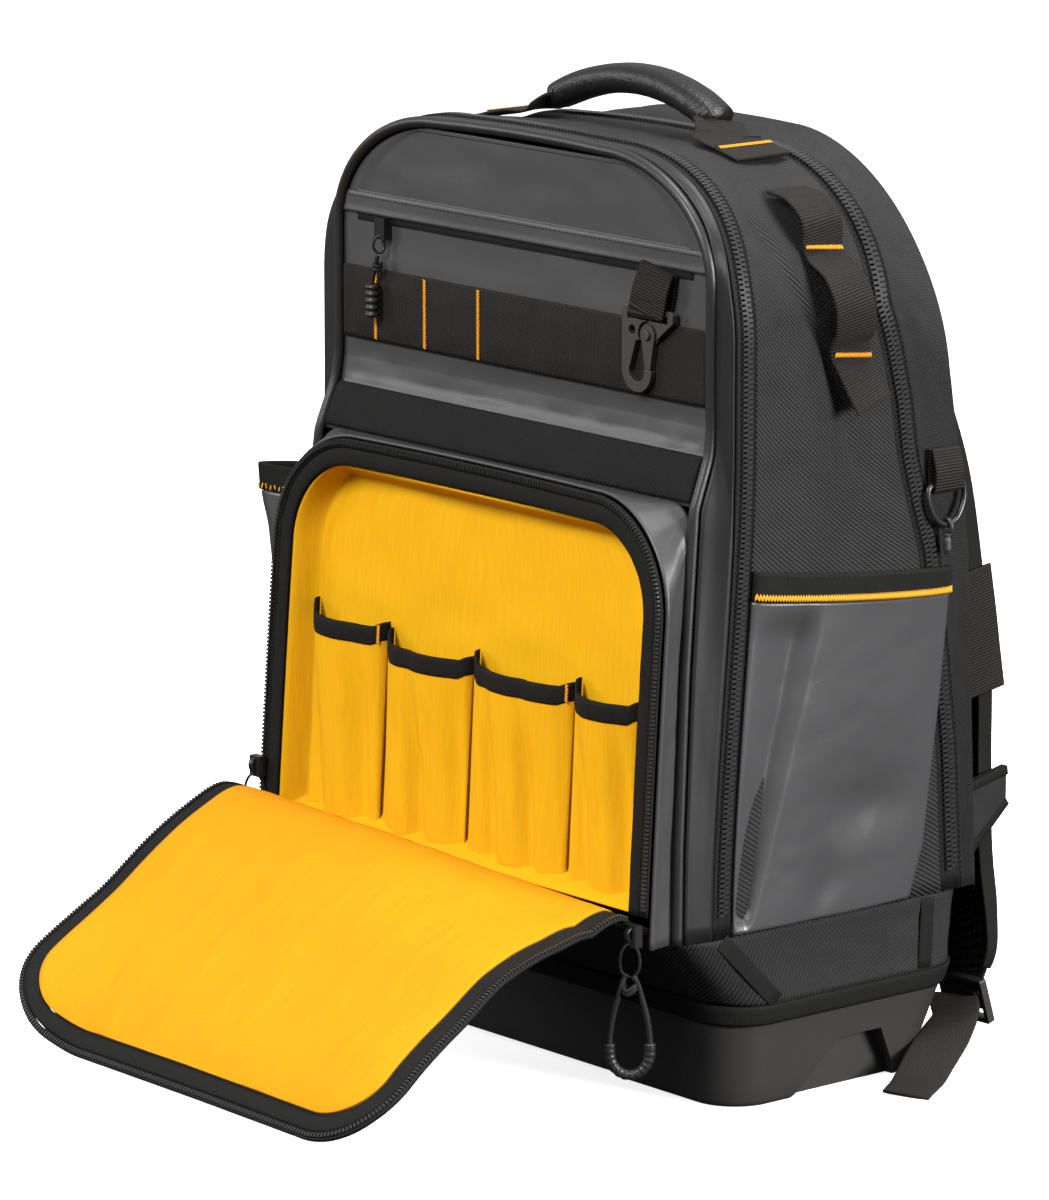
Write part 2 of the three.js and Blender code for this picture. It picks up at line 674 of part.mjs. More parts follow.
const linerForm = {
  ...rimForm, half: rimForm.half - linerInset - gap, top: pocketTop - linerInset - gap, wide: 44, high: 44,
};
const wallSteps = 3; // rows of the liner that make its side wall
const linerTurn = 9; // width of the wall's turn
function linerPlace(u, v, lift = 0) {
  const across = 2 * u - 1;
  const z = mix(rimLow, linerForm.top, v);
  const half = halfAt(linerForm, z);
  const x = across * half;
  const edge = Math.min(half - Math.abs(x), linerForm.top - z, z - rimLow);
  const back = ease(clamp(edge / linerTurn));
  return point(x, rimY(z) + cloth / 2 + gap + (linerDepth - cloth) * back - lift, z);
}
function makeLiner() {
  const across = 12;
  const up = 9;
  const graded = (t, steps) => {
    const i = t * steps;
    const near = (0.08 * Math.min(i, wallSteps)) / wallSteps;
    const far = (0.08 * Math.max(0, i - (steps - wallSteps))) / wallSteps;
    const middle = (0.84 * clamp((i - wallSteps) / (steps - 2 * wallSteps)));
    return near + middle + far;
  };
  const place = (u, v) => linerPlace(graded(u, across), graded(v, up));
  return sheet(place, linerWall, across, up);
}
add("pocket_liner", "yellow", makeLiner());

function makeToolPocket(row) {
  const half = linerForm.half - linerTurn;
  const low = rimLow + linerTurn;
  const high = toolPocketTop * row.top;
  const place = (u, v) => {
    const x = half * mix(row.from, row.to, u);
    const z = mix(low, high, v);
    const billow = Math.pow(Math.sin(Math.PI * clamp(u)), 0.5) * mix(0.45, 1, v);
    const stand = cloth + 2 * gap + toolPocketDepth * billow;
    return point(x, rimY(z) + linerDepth - stand, z);
  };
  return sheet(place, -linerWall, 6, 4);
}
for (const row of toolRows) add(row.name, "yellow", makeToolPocket(row));

// Door of the front pocket, folded down: flat outline coordinates run from the hinge to the free edge
const doorStart = panelDepth + pocketLean + 1.6;
const doorCurve = new THREE.CatmullRomCurve3(
  doorRows.map((row) => point(0, -(doorStart + doorReach * row.out), bandTop * row.up)),
  false, "centripetal",
);
const doorLength = doorCurve.getLength();
const doorForm = { half: doorHalf, top: doorLength, wide: doorCorner, high: doorCorner, power: 2, flare: 0, crown: 0 };
function doorPlace(x, run, lift) {
  const t = clamp(run / doorLength);
  const p = doorCurve.getPointAt(t);
  const tangent = doorCurve.getTangentAt(t);
  const out = (-p.y - doorStart) / doorReach;
  const tilt = -(x / doorHalf) * along(doorRows, "tilt", out, "out");
  const droop = along(doorRows, "droop", out, "out") * ease(clamp(x / doorHalf));
  const curl = 12 * ease(clamp((-x - doorHalf / 2) * 2 / doorHalf)) * ease(clamp((out - 0.55) / 0.45));
  const across = x + doorShift * out * out;
  return point(across, p.y + tangent.z * lift, p.z + tilt - droop + curl - tangent.y * lift);
}
// Rows of the door's cloth: straight to the corners, then closer and closer round them
function doorSheetRows(inset) {
  const radius = doorCorner - inset;
  const turn = doorLength - doorCorner;
  const rows = [];
  const straight = 8;
  const turned = 4;
  for (let i = 0; i < straight; i++) rows.push({ run: mix(gap, turn, i / straight), half: doorHalf - inset });
  for (let i = 0; i <= turned; i++) {
    const angle = (Math.PI * i) / (2 * turned);
    rows.push({ run: turn + radius * Math.sin(angle), half: doorHalf - inset - radius * (1 - Math.cos(angle)) });
  }
  return rows;
}
function doorSheet(inset, lift, wall) {
  const rows = doorSheetRows(inset);
  const last = rows.length - 1;
  const place = (offset) => (u, v) => {
    const row = rows[Math.round(v * last)];
    return doorPlace((2 * u - 1) * row.half, row.run, lift + offset);
  };
  return shell(place(wall / 2), place(-wall / 2), 6, last);
}
const doorTapeInset = doorZipWidth + gap;
const doorShellInset = doorTapeInset + doorTapeWidth + gap;
add("door_shell", "tarp", doorSheet(doorShellInset, 0, doorWall));
add("door_lining", "yellow", doorSheet(doorShellInset, doorWall / 2 + gap + liningWall / 2, liningWall));
const doorEdgeStart = 30; // the bound edge begins outside the pocket
function doorBand(from, to, thick) {
  const place = (offset) => (u, v) => {
    const p = archPoint(doorForm, u, mix(from, to, v), doorEdgeStart);
    return doorPlace(p.x, p.z, offset);
  };
  return shell(place(thick / 2), place(-thick / 2), archSteps, 1);
}
add("door_binding", "webbing", doorBand(doorTapeInset, doorTapeInset + doorTapeWidth, doorWall + 1.6));
add("door_zip", "zip", doorBand(0, doorZipWidth, 2.6));

// Zip sliders with a wire puller; the cord loops through the puller and both its ends go into a rubber grip
const facing = point(0.643, 0.766, 0); // direction in which the pull cords spread
const towards = point(0.766, -0.643, 0);
const sliderSize = { wide: 8, deep: 4.6, high: 11 };
const pullerRadius = 0.8;
const pullerSize = { wide: 8.5, high: 17 };
const cordRadius = 1.5;
const gripRadius = 2.7;
const pullLength = 52; // from the puller's foot to the bottom of the grip
const pullSpread = 10;
function at(centre, across, out, up) {
  return centre.clone().addScaledVector(facing, across).addScaledVector(towards, out).add(point(0, 0, up));
}
function makeSlider(centre, puller) {
  const { wide, deep, high } = sliderSize;
  const body = new THREE.BoxGeometry(wide, deep, high);
  body.translate(centre.x, centre.y, centre.z);
  const w = puller.wide / 2;
  const h = puller.high;
  const top = centre.clone().add(point(0, -deep / 2, -high / 2 + 1.5));
  const outline = [[-1, 0, 0.2], [-w, 0, -4], [-w, 0, -h + 3], [0, 0, -h], [w, 0, -h + 3], [w, 0, -4], [1, 0, 0.2]];
  const points = outline.map(([a, o, u]) => at(top, a, o, u));
  const ring = wireRing(points, pullerRadius, towards.clone(), 5, 14);
  return fromSolid(toSolid(body).add(toSolid(ring)));
}
// The left zip is closed a little way up, so its slider sits higher
const sliderRows = [
  { label: "right", side: 1, across: doorHalf + 0.5, level: bandTop * 1.087 },
  { label: "left", side: -1, across: pocketHalf + 0.5, level: bandTop * 1.42 },
];
// The cord's route, chosen by hand: across, out and up from the puller's foot
const cordRoute = [[-10, 0.8, -33], [-9, 0.8, -20], [-5, 0.8, -7], [-1.8, -2.5, 1.2], [0, 0, 3.1], [1.8, 2.5, 1.2],
  [5, 0.8, -7], [9, 0.8, -20], [10, 0.8, -33]];
for (const { label, side, across, level } of sliderRows) {
  const centre = point(side * across, rimY(level) - rimZipThick / 2 - 2.4 * gap - sliderSize.deep / 2, level);
  const foot = centre.clone().add(point(0, -sliderSize.deep / 2, -sliderSize.high / 2 + 1.5 - pullerSize.high));
  add("door_slider_" + label, "zip", makeSlider(centre, pullerSize));
  add("pull_cord_" + label, "webbing", rod(cordRoute.map(([a, o, u]) => at(foot, a, o, u)), cordRadius, 8, 18));
  const low = cordRoute[0][2] - gap;
  const bend = [];
  for (let i = 0; i <= 6; i++) {
    const angle = (Math.PI * i) / 6;
    const drop = low - 4 - (pullLength + low - 4 - gripRadius) * Math.sin(angle);
    bend.push(at(foot, -pullSpread * Math.cos(angle), 0.8, drop));
  }
  bend.unshift(at(foot, -pullSpread, 0.8, low));
  bend.push(at(foot, pullSpread, 0.8, low));
  add("pull_grip_" + label, "rubber", rod(bend, gripRadius, 6, 14));
}

// Top pocket's slider under the welt, with a short cord and a ribbed grip
const topPull = { across: -108, level: weltTop - 17, cordLength: 14, gripLength: 18, gripRadius: 4 };
function makeTopPull() {
  const y = edgeY(topPull.level) - gap - sliderSize.deep / 2;
  const centre = point(topPull.across, y, topPull.level);
  const short = { wide: 6, high: 9 };
  add("top_slider", "zip", makeSlider(centre, short));
  const drop = sliderSize.high / 2 - 1.5 + short.high + pullerRadius + gap + 0.1;
  const start = centre.clone().add(point(0, -sliderSize.deep / 2 - 1.2, -drop));
  const end = start.clone().add(point(-3, -1, -topPull.cordLength));
  add("top_cord", "webbing", rod([start, start.clone().lerp(end, 0.5), end], 1.2, 8, 4));
  const profile = [new THREE.Vector2(0, 0), new THREE.Vector2(topPull.gripRadius * 0.6, 0)];
  const ribs = 4;
  for (let i = 0; i < ribs; i++) {
    const z0 = (topPull.gripLength * (i + 0.25)) / ribs;
    const z1 = (topPull.gripLength * (i + 0.8)) / ribs;
    profile.push(new THREE.Vector2(topPull.gripRadius, z0), new THREE.Vector2(topPull.gripRadius * 0.78, z1));
  }
  profile.push(new THREE.Vector2(0, topPull.gripLength));
  const grip = new THREE.LatheGeometry(profile, 10);
  grip.rotateX(-Math.PI / 2);
  grip.translate(end.x, end.y, end.z - gap);
  add("top_grip", "rubber", welded(grip));
}
makeTopPull();

// Webbing tab and sprung hook
const hookTop = webbingTop + 7;
const tabWall = 1.5;
const layerOff = hookPlate / 2 + gap + tabWall / 2; // tab layers either side of the hook's bar
const hookY = -(panelDepth + gap + tabWall + hookPlate / 2 + gap);
const nose = { across: 11, down: 32, outer: 11, inner: 5.8 };
// Flat piece of the hook: its outline's second coordinate runs down from the hook's top
function hookSolid(shape, front, rear) {
  const plate = new THREE.ExtrudeGeometry(shape, { depth: rear - front, bevelEnabled: false, curveSegments: 6 });
  plate.rotateX(-Math.PI / 2);
  plate.translate(hookCentre - hookWidth / 2, hookY + front, hookTop);
  return toSolid(plate);
}
function hookDisc(radius, front, rear) {
  const disc = new THREE.CylinderGeometry(radius, radius, rear - front, 14);
  disc.translate(hookCentre - hookWidth / 2 + pivotAcross, hookY + (front + rear) / 2, hookTop - pivotDown);
  return toSolid(disc);
}
function makeHook() {
  const half = hookPlate / 2;
  const lap = gap / 2;
  const plate = new THREE.Shape();
  plate.moveTo(1.5, 0);
  plate.lineTo(hookWidth - 1.5, 0);
  plate.lineTo(hookWidth, 1.5);
  plate.lineTo(hookWidth, 5.5);
  plate.lineTo(pivotAcross + 6.2, pivotDown + 2);
  plate.lineTo(pivotAcross + 3.6, pivotDown + 5.4);
  plate.lineTo(pivotAcross - 3.6, pivotDown + 5.2);
  plate.lineTo(pivotAcross - 6, pivotDown + 3);
  plate.lineTo(10.4, 17);
  plate.lineTo(nose.across - nose.inner, nose.down);
  plate.absarc(nose.across, nose.down, nose.inner, Math.PI, 0, true);
  plate.lineTo(nose.across + nose.inner, nose.down - 1);
  plate.lineTo(nose.across + nose.outer - 0.5, nose.down - 1);
  plate.absarc(nose.across, nose.down, nose.outer, 0, Math.PI, false);
  plate.lineTo(0, 1.5);
  plate.closePath();
  const slot = new THREE.Path();
  const slotSide = (hookWidth - slotWidth) / 2;
  slot.moveTo(slotSide, hookBar);
  slot.lineTo(slotSide, hookBar + slotHeight);
  slot.lineTo(hookWidth - slotSide, hookBar + slotHeight);
  slot.lineTo(hookWidth - slotSide, hookBar);
  slot.closePath();
  const hole = new THREE.Path();
  hole.absarc(7.5, 12, 2.5, 0, Math.PI * 2, true);
  plate.holes.push(slot, hole);
  const gate = new THREE.Shape();
  gate.moveTo(pivotAcross - 4.6, pivotDown + 2);
  gate.lineTo(nose.across + nose.inner + 0.6, nose.down - 1 - gap);
  gate.lineTo(nose.across + nose.outer - 0.8, nose.down - 1 - gap);
  gate.lineTo(pivotAcross + 4.9, pivotDown + 2);
  gate.closePath();
  const frame = hookSolid(plate, -half, half)
    .subtract(hookDisc(7.2, -half - 1, lap))
    .subtract(hookDisc(rivetRadius + gap, -half - 1, half + 1));
  const arm = hookSolid(gate, -half, half).add(hookDisc(hubRadius, -half, -lap));
  const swing = arm.subtract(hookDisc(6.9, -lap, half + 1)).subtract(hookDisc(rivetRadius + gap, -half - 1, half + 1));
  add("hook_frame", "steel", fromSolid(frame));
  add("hook_gate", "steel", fromSolid(swing));
  const rivetHead = hookDisc(rivetRadius * 1.8, -half - gap - 1, -half - gap);
  const rivet = hookDisc(rivetRadius, -half - gap - 0.4, half - 0.1).add(rivetHead);
  add("hook_rivet", "steel", fromSolid(rivet));
  const barFoot = hookTop - hookBar;
  const tabTop = weltTop - weltDrop - gap;
  const lean = 5; // the tab's top is further across than its foot
  const foldSteps = 4;
  const path = [
    point(hookCentre + lean, -panelDepth - gap - tabWall * 1.8, tabTop),
    point(hookCentre + lean * 0.6, hookY - layerOff * 0.8, mix(tabTop, barFoot, 0.4)),
  ];
  for (let i = 0; i <= foldSteps; i++) {
    const angle = (Math.PI * i) / foldSteps;
    path.push(point(hookCentre, hookY - layerOff * Math.cos(angle), barFoot - layerOff * Math.sin(angle) * 0.98));
  }
  path.splice(2, 0, point(hookCentre + 1, hookY - layerOff, hookTop + 1));
  path.push(point(hookCentre + 1, hookY + layerOff, hookTop + 1));
  path.push(point(hookCentre + lean, hookY + layerOff, tabTop));
  add("hook_tab", "webbing", webbing(path, tabWidth, tabWall, () => point(1, 0, 0), 18));
}
makeHook();

// Side pockets: open at the top, bellied cloth with a bound rim
const mirrored = (geometry) => facingOut(geometry.clone().scale(-1, 1, 1));
function sidePocketPlace(u, v, depth) {
  const low = bandTop + 2;
  const high = sidePocketTop - sidePocketFall * u;
  const z = mix(low, high, v);
  const front = zipRear(z) + gap;
  const rear = halfDepth * along(pocketRearRows, "back", clamp((z - low) / (high - low)));
  const share = mix(0.25, 1, Math.pow(v, 0.7));
  const belly = Math.pow(Math.sin(Math.PI * clamp(u)), 0.6) * Math.min(depth, sidePocketDepth) * share;
  const gape = Math.max(0, depth - sidePocketDepth) * share * Math.min(1, u * 16) * (1 - ease(clamp((u - 0.07) / 0.8)));
  return point(halfWidth + gap + cloth + belly + gape, mix(front, rear, u), z);
}
const rimShare = 1 - sideRimHeight / (sidePocketTop - bandTop);
function makeSidePocket(label, depth, columns) {
  const wall = sheet((u, v) => sidePocketPlace(u, v * (rimShare - 0.002), depth), cloth, columns, 4);
  const rimPlace = (u, v) => sidePocketPlace(u, mix(rimShare, 1, v), depth).add(point(1, 0, 0));
  const rim = sheet(rimPlace, cloth + 1, columns, 1);
  add("side_pocket_" + label, "tarp", label === "left" ? mirrored(wall) : wall);
  add("side_pocket_rim_" + label, "webbing", label === "left" ? mirrored(rim) : rim);
}
makeSidePocket("right", sidePocketDepth, 10);
makeSidePocket("left", sidePocketGape, 12);

// Top handle
function gussetForm(y, z) {
  const v = clamp((y - zipRear(z)) / (mainFront(z) - zipRear(z)));
  return blendForm(frontZipForm, mainZipForm, v);
}
// Height of the cloth top at a place across the body
function topLevel(x, y) {
  const form = gussetForm(y, bodyHeight);
  const over = clamp((Math.abs(x) - (form.half - form.wide)) / form.wide);
  return form.top - form.high + form.high * Math.pow(1 - Math.pow(over, form.power), 1 / form.power);
}
const gripY = -3;
const footY = -13;
const gripMiddle = bodyHeight + handleRise - gripThick / 2;
function makeHandle() {
  const points = [];
  for (let i = 0; i <= 8; i++) {
    const s = i / 4 - 1;
    points.push(point((s * gripSpan) / 2, gripY - 2 * s * s, gripMiddle - gripDrop * s * s));
  }
  const rounded = (u) => 1 - 0.1 * Math.pow(Math.abs(2 * u - 1), 8);
  add("handle_grip", "rubber",
    padded(points, (u) => gripWide * rounded(u), (u) => gripThick * rounded(u), point(0, 1, 0), 10));
  const lift = webbingWall / 2 + 2 * gap;
  const end = gripSpan / 2 + 0.3;
  const footLevel = topLevel(handleFoot, footY);
  const path = [
    point(end, gripY - 2, gripMiddle - gripDrop - 0.9),
    point(mix(end, handleFoot, 0.5), mix(gripY - 2, footY, 0.5), mix(gripMiddle - gripDrop, footLevel, 0.52)),
    point(handleFoot - 4, footY, topLevel(handleFoot - 4, footY) + lift + 1.4),
    point(handleFoot + 4, footY, topLevel(handleFoot + 4, footY) + lift + 0.6),
    point(handleFoot + 15, footY, topLevel(handleFoot + 15, footY) + lift + 0.6),
  ];
  const strap = webbing(path, handleWebbing, webbingWall, () => point(0, 1, 0), 10);
  add("handle_webbing_right", "webbing", strap);
  add("handle_webbing_left", "webbing", mirrored(strap));
}
makeHandle();

// Webbing sewn down the right side so that it stands off in loops: level, place and lift from the cloth
const loopRows = [
  { z: 456, y: -21, lift: 0 }, { z: 449, y: -21, lift: 7 }, { z: 440, y: -20, lift: 9 }, { z: 434, y: -18.5, lift: 4 },
  { z: 430, y: -17.5, lift: 0 }, { z: 425, y: -17, lift: 0.4 }, { z: 416, y: -15.5, lift: 7 }, { z: 404, y: -13, lift: 9.5 },
  { z: 391, y: -10.5, lift: 6.5 }, { z: 383, y: -9, lift: 0.8 }, { z: 378, y: -7.5, lift: 0 }, { z: 369, y: -5, lift: 3 },
  { z: 360, y: -2, lift: 6 }, { z: 353, y: 0.5, lift: 8.5 },
];
function makeSideLoops() {
  const share = (z) => z / 478;
  const points = loopRows.map((row) => {
    const z = bodyHeight * share(row.z);
    const form = gussetForm(row.y, z);
    const slope = halfAt(form, z + 1) - halfAt(form, z - 1);
    const normal = point(2, 0, -slope).normalize();
    const lift = row.lift + webbingWall / 2 + 3 * gap;
    return point(halfAt(form, z), row.y, z).addScaledVector(normal, lift);
  });
  return webbing(points, loopWebbing, webbingWall, () => point(0, 1, 0), 26);
}
add("side_loops", "webbing", makeSideLoops());

// Shoulder straps, their buckles and webbing tails
const strapRows = [
  { z: 440, y: 64.6, x: -34 }, { z: 410, y: 68.5, x: -26 }, { z: 375, y: 76, x: -14 }, { z: 342, y: 83.5, x: -6 },
  { z: 305, y: 93, x: -1 }, { z: 257, y: 102, x: 0 }, { z: 200, y: 110, x: 0 }, { z: 150, y: 111, x: 0 },
  { z: 100, y: 111, x: 2 }, { z: 70, y: 110, x: 9 }, { z: 50, y: 107, x: 20 }, { z: 38.2, y: 104, x: 24 },
];
const strapMiddle = strapEdge - strapWidth / 2;
const strapFoot = 38.2;
const strapLevel = (z) => strapFoot + ((z - strapFoot) * (bodyHeight - strapFoot)) / (478 - strapFoot);
function makeStrap() {
  const points = strapRows.map((row) => point(strapMiddle + row.x, row.y, strapLevel(row.z)));
  const narrow = (u) => 1 - 0.5 * Math.pow(clamp((u - 0.88) / 0.12), 2) - 0.25 * clamp((0.12 - u) / 0.12);
  const thin = (u) => 1 - 0.4 * clamp((u - 0.88) / 0.12) - 0.3 * clamp((0.1 - u) / 0.1);
  return padded(points, (u) => strapWidth * narrow(u), (u) => strapThick * thin(u), point(1, 0, 0), 17);
}
const strap = makeStrap();
add("shoulder_strap_right", "woven", strap);
add("shoulder_strap_left", "woven", mirrored(strap));

const buckle = { wide: 33, long: 25, thick: 4.6, slot: 5.6, rail: 3 };
const buckleTurn = 0.3; // radians off upright
const bucklePlace = point(strapMiddle + 24, 108, 24);
const buckleUp = point(0, -Math.sin(buckleTurn), Math.cos(buckleTurn));
const buckleOut = point(0, Math.cos(buckleTurn), Math.sin(buckleTurn));
function bucklePoint(up, out) {
  return bucklePlace.clone().addScaledVector(buckleUp, up).addScaledVector(buckleOut, out);
}
function makeBuckle() {
  let solid = toSolid(new THREE.BoxGeometry(buckle.wide, buckle.thick, buckle.long));
  for (const side of [-1, 1]) {
    const slot = new THREE.BoxGeometry(buckle.wide - 2 * buckle.rail, buckle.thick + 2, buckle.slot);
    slot.translate(0, 0, side * (buckle.long / 2 - buckle.rail - buckle.slot / 2));
    solid = solid.subtract(toSolid(slot));
  }
  const geometry = fromSolid(solid);
  geometry.rotateX(buckleTurn);
  geometry.translate(bucklePlace.x, bucklePlace.y, bucklePlace.z);
  return geometry;
}
const buckleSolid = makeBuckle();
add("strap_buckle_right", "plastic", buckleSolid);
add("strap_buckle_left", "plastic", mirrored(buckleSolid));

// Tails: from the strap's end through the buckle's upper slot, then by hand-chosen routes to the floor
const tailRoutes = {
  right: [
    point(134, 97, 25), point(146, 87, 22), point(158, 70, 17.5), point(171, 46, 10), point(182, 27, 4.5),
    point(190.5, 10, 1.4),
  ],
  left: [point(131, 100, 15), point(131, 101, 7), point(131, 107, 2.6), point(131, 118, 1.6)],
};
function makeTail(route, turn) {
  const slotTop = buckle.long / 2 - buckle.rail;
  const off = buckle.thick / 2 + gap + webbingWall / 2;
  const points = [
    point(bucklePlace.x, 112, 47), point(bucklePlace.x, 111.2, 41), bucklePoint(slotTop + 1, off + 0.3),
    bucklePoint(slotTop - 1.7, off * 0.8), bucklePoint(slotTop - buckle.slot / 2, 0),
    bucklePoint(slotTop - buckle.slot + 1.7, -off * 0.8), bucklePoint(slotTop - buckle.slot - 1, -off - 0.3), ...route,
  ];
  const dip = (u) => point(0, 0, -turn.z * ease(clamp((u - 0.7) / 0.25)));
  const wide = (u) => point(1, 0, 0).lerp(turn, ease(clamp((u - 0.32) / 0.3))).add(dip(u));
  return webbing(points, tailWidth, webbingWall, wide, 26);
}
add("strap_tail_right", "webbing", makeTail(tailRoutes.right, point(0.643, 0.766, -0.3)));
add("strap_tail_left", "webbing", mirrored(makeTail(tailRoutes.left, point(1, 0, 0))));

// Wings that carry the lower ends of the straps
function makeWing() {
  const rootLow = bandTop + 4;
  const place = (u, v) => {
    const root = point(halfWidth - 14, backY(rootLow) + gap, mix(rootLow, rootLow + 42, v));
    const tip = point(strapEdge + 5.2, 122, mix(128, 145, v));
    return root.lerp(tip, u);
  };
  return sheet(place, 4, 4, 2);
}
const wing = makeWing();
add("hip_wing_right", "woven", wing);
add("hip_wing_left", "woven", mirrored(wing));

// Webbing loop with a D-ring and a snap clip, on the right side wall, and the trim webbing on the strap's edge
const ringRadius = 1.6;
const ringWall = 1.6;
const ringOff = ringRadius + gap + ringWall / 2;
const ringPlace = point(halfWidth + gap + ringWall / 2 + ringOff, 56, bodyHeight - 173);
function ringPoint(across, out, up) {
  return ringPlace.clone().add(point(out, across, up));
}
function makeRing() {
  const off = ringOff;
  const path = [ringPoint(0, -off, 19), ringPoint(0, -off, 8)];
  for (let i = 0; i <= 4; i++) {
    const angle = (Math.PI * i) / 4;
    path.push(ringPoint(0, -off * Math.cos(angle), -off * Math.sin(angle)));
  }
  path.push(ringPoint(0, off, 8), ringPoint(0, -off + 0.8 + ringWall + gap, 19));
  add("ring_loop", "webbing", webbing(path, 19, ringWall, () => point(0, 1, 0), 18));
  const outline = [[-11, 0], [-6, 0], [0, 0], [6, 0], [11, 0], [12.5, -4], [11, -11], [6.5, -17.5], [0, -20], [-6.5, -17.5],
    [-11, -11], [-12.5, -4]];
  const swing = 0.08; // the ring hangs this far off upright
  const points = outline.map(([a, u]) => ringPoint(a, -u * swing, u));
  add("d_ring", "steel", wireRing(points, ringRadius, point(1, 0, swing).normalize(), 6, 18));
  const eye = [[0, 3], [2.6, 1], [3, -2], [0, -4.4], [-3, -2], [-2.6, 1]];
  const eyePlace = ringPoint(0, 20 * swing, -20);
  const clipPoint = (out, up) => eyePlace.clone().add(point(out, 0, up));
  const eyeRing = wireRing(eye.map(([o, u]) => clipPoint(o, u)), 1, point(0, 1, 0), 5, 10);
  const shaft = rod([clipPoint(0, -4.2), clipPoint(0, -9), clipPoint(0.5, -15)], 2.2, 6, 4);
  add("snap_clip", "plastic", fromSolid(toSolid(eyeRing).add(toSolid(shaft))));
}
makeRing();
const trimRows = [{ z: 252, y: 99 }, { z: 230, y: 103 }, { z: 205, y: 107 }, { z: 187, y: 110 }];
const trimLine = trimRows.map((row) => point(strapEdge + gap + webbingWall / 2 + 0.2, row.y, strapLevel(row.z)));
add("strap_trim", "webbing", webbing(trimLine, tailWidth, webbingWall, () => point(0, 1, 0), 6));

export default backpack;
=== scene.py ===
import math
import bpy
import numpy as np
from mathutils import Matrix, Vector


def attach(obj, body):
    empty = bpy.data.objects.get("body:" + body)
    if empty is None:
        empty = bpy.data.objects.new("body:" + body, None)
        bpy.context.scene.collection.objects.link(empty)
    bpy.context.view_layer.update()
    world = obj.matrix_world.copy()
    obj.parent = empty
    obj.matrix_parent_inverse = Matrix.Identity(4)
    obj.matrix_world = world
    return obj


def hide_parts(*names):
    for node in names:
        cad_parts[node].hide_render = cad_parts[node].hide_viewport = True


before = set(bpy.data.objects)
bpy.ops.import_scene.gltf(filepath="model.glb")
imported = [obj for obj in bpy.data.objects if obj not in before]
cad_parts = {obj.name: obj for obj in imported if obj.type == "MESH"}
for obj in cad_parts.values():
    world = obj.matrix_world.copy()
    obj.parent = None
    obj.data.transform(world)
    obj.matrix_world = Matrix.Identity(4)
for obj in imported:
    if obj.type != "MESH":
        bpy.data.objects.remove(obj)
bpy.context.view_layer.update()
print("frame loaded")

mm = 0.001
gap = 0.3
clothWall = 1.6

# Camera, stage and lights
view = {"azimuth": 50.0, "elevation": 11.8, "place": (2.5587, -2.2277, 0.9357), "lens": 201.0, "sensor": 36.0}


def setCamera():
    a = math.radians(view["azimuth"])
    e = math.radians(view["elevation"])
    right = Vector((math.cos(a), math.sin(a), 0))
    up = Vector((-math.sin(a) * math.sin(e), math.cos(a) * math.sin(e), math.cos(e)))
    back = right.cross(up)
    data = bpy.data.cameras.new("camera")
    data.sensor_fit = "VERTICAL"
    data.sensor_height = view["sensor"]
    data.lens = view["lens"]
    data.clip_end = 60
    camera = bpy.data.objects.new("camera", data)
    turn = Matrix((right, up, back)).transposed().to_4x4()
    camera.matrix_world = Matrix.Translation(view["place"]) @ turn
    bpy.context.scene.collection.objects.link(camera)
    bpy.context.scene.camera = camera


setCamera()

stage = {"floor": 14.0, "skyLow": 0.04, "skyHigh": 0.55, "glow": 0.8}
lamps = [
    {"name": "keyLamp", "place": (0.4, -2.6, 2.3), "size": 1.3, "power": 140, "aim": (0, -0.1, 0.2)},
    {"name": "sideLamp", "place": (2.9, 0.8, 1.0), "size": 1.2, "power": 185, "aim": (0, 0, 0.25)},
    {"name": "leftLamp", "place": (-2.2, -1.9, 1.2), "size": 1.2, "power": 30, "aim": (0, -0.1, 0.25)},
    {"name": "topLamp", "place": (0.3, 0.4, 2.8), "size": 1.4, "power": 80, "aim": (0, 0, 0.3)},
]
bpy.context.scene.view_settings.view_transform = "Standard"


# Material helpers
def addNode(tree, kind, place=(0, 0), **values):
    node = tree.nodes.new(kind)
    node.location = place
    for key, value in values.items():
        if key in node.inputs.keys():
            node.inputs[key].default_value = value
        else:
            setattr(node, key, value)
    return node


def effectGroup(name, inputs, outputs, build):
    tree = bpy.data.node_groups.new(name, "ShaderNodeTree")
    for label, kind, value in inputs:
        socket = tree.interface.new_socket(label, in_out="INPUT", socket_type=kind)
        if value is not None:
            socket.default_value = value
    for label, kind in outputs:
        tree.interface.new_socket(label, in_out="OUTPUT", socket_type=kind)
    start = addNode(tree, "NodeGroupInput", (-900, 0))
    end = addNode(tree, "NodeGroupOutput", (600, 0))
    build(tree, start, end)
    return tree


def math2(tree, operation, a, b):
    node = addNode(tree, "ShaderNodeMath", operation=operation)
    for k, value in enumerate((a, b)):
        if isinstance(value, (int, float)):
            node.inputs[k].default_value = value
        else:
            tree.links.new(value, node.inputs[k])
    return node.outputs[0]


# Stripes of that pitch, given in metres by a socket, turned in the plane of the cloth
def bandWave(tree, vector, pitch, turn):
    spin = addNode(tree, "ShaderNodeVectorRotate", rotation_type="Z_AXIS")
    spin.inputs["Angle"].default_value = math.radians(turn)
    tree.links.new(vector, spin.inputs["Vector"])
    wave = addNode(tree, "ShaderNodeTexWave", wave_type="BANDS", bands_direction="X", wave_profile="SIN")
    tree.links.new(spin.outputs[0], wave.inputs["Vector"])
    tree.links.new(math2(tree, "DIVIDE", 0.314159, pitch), wave.inputs["Scale"])
    return wave.outputs["Fac"]


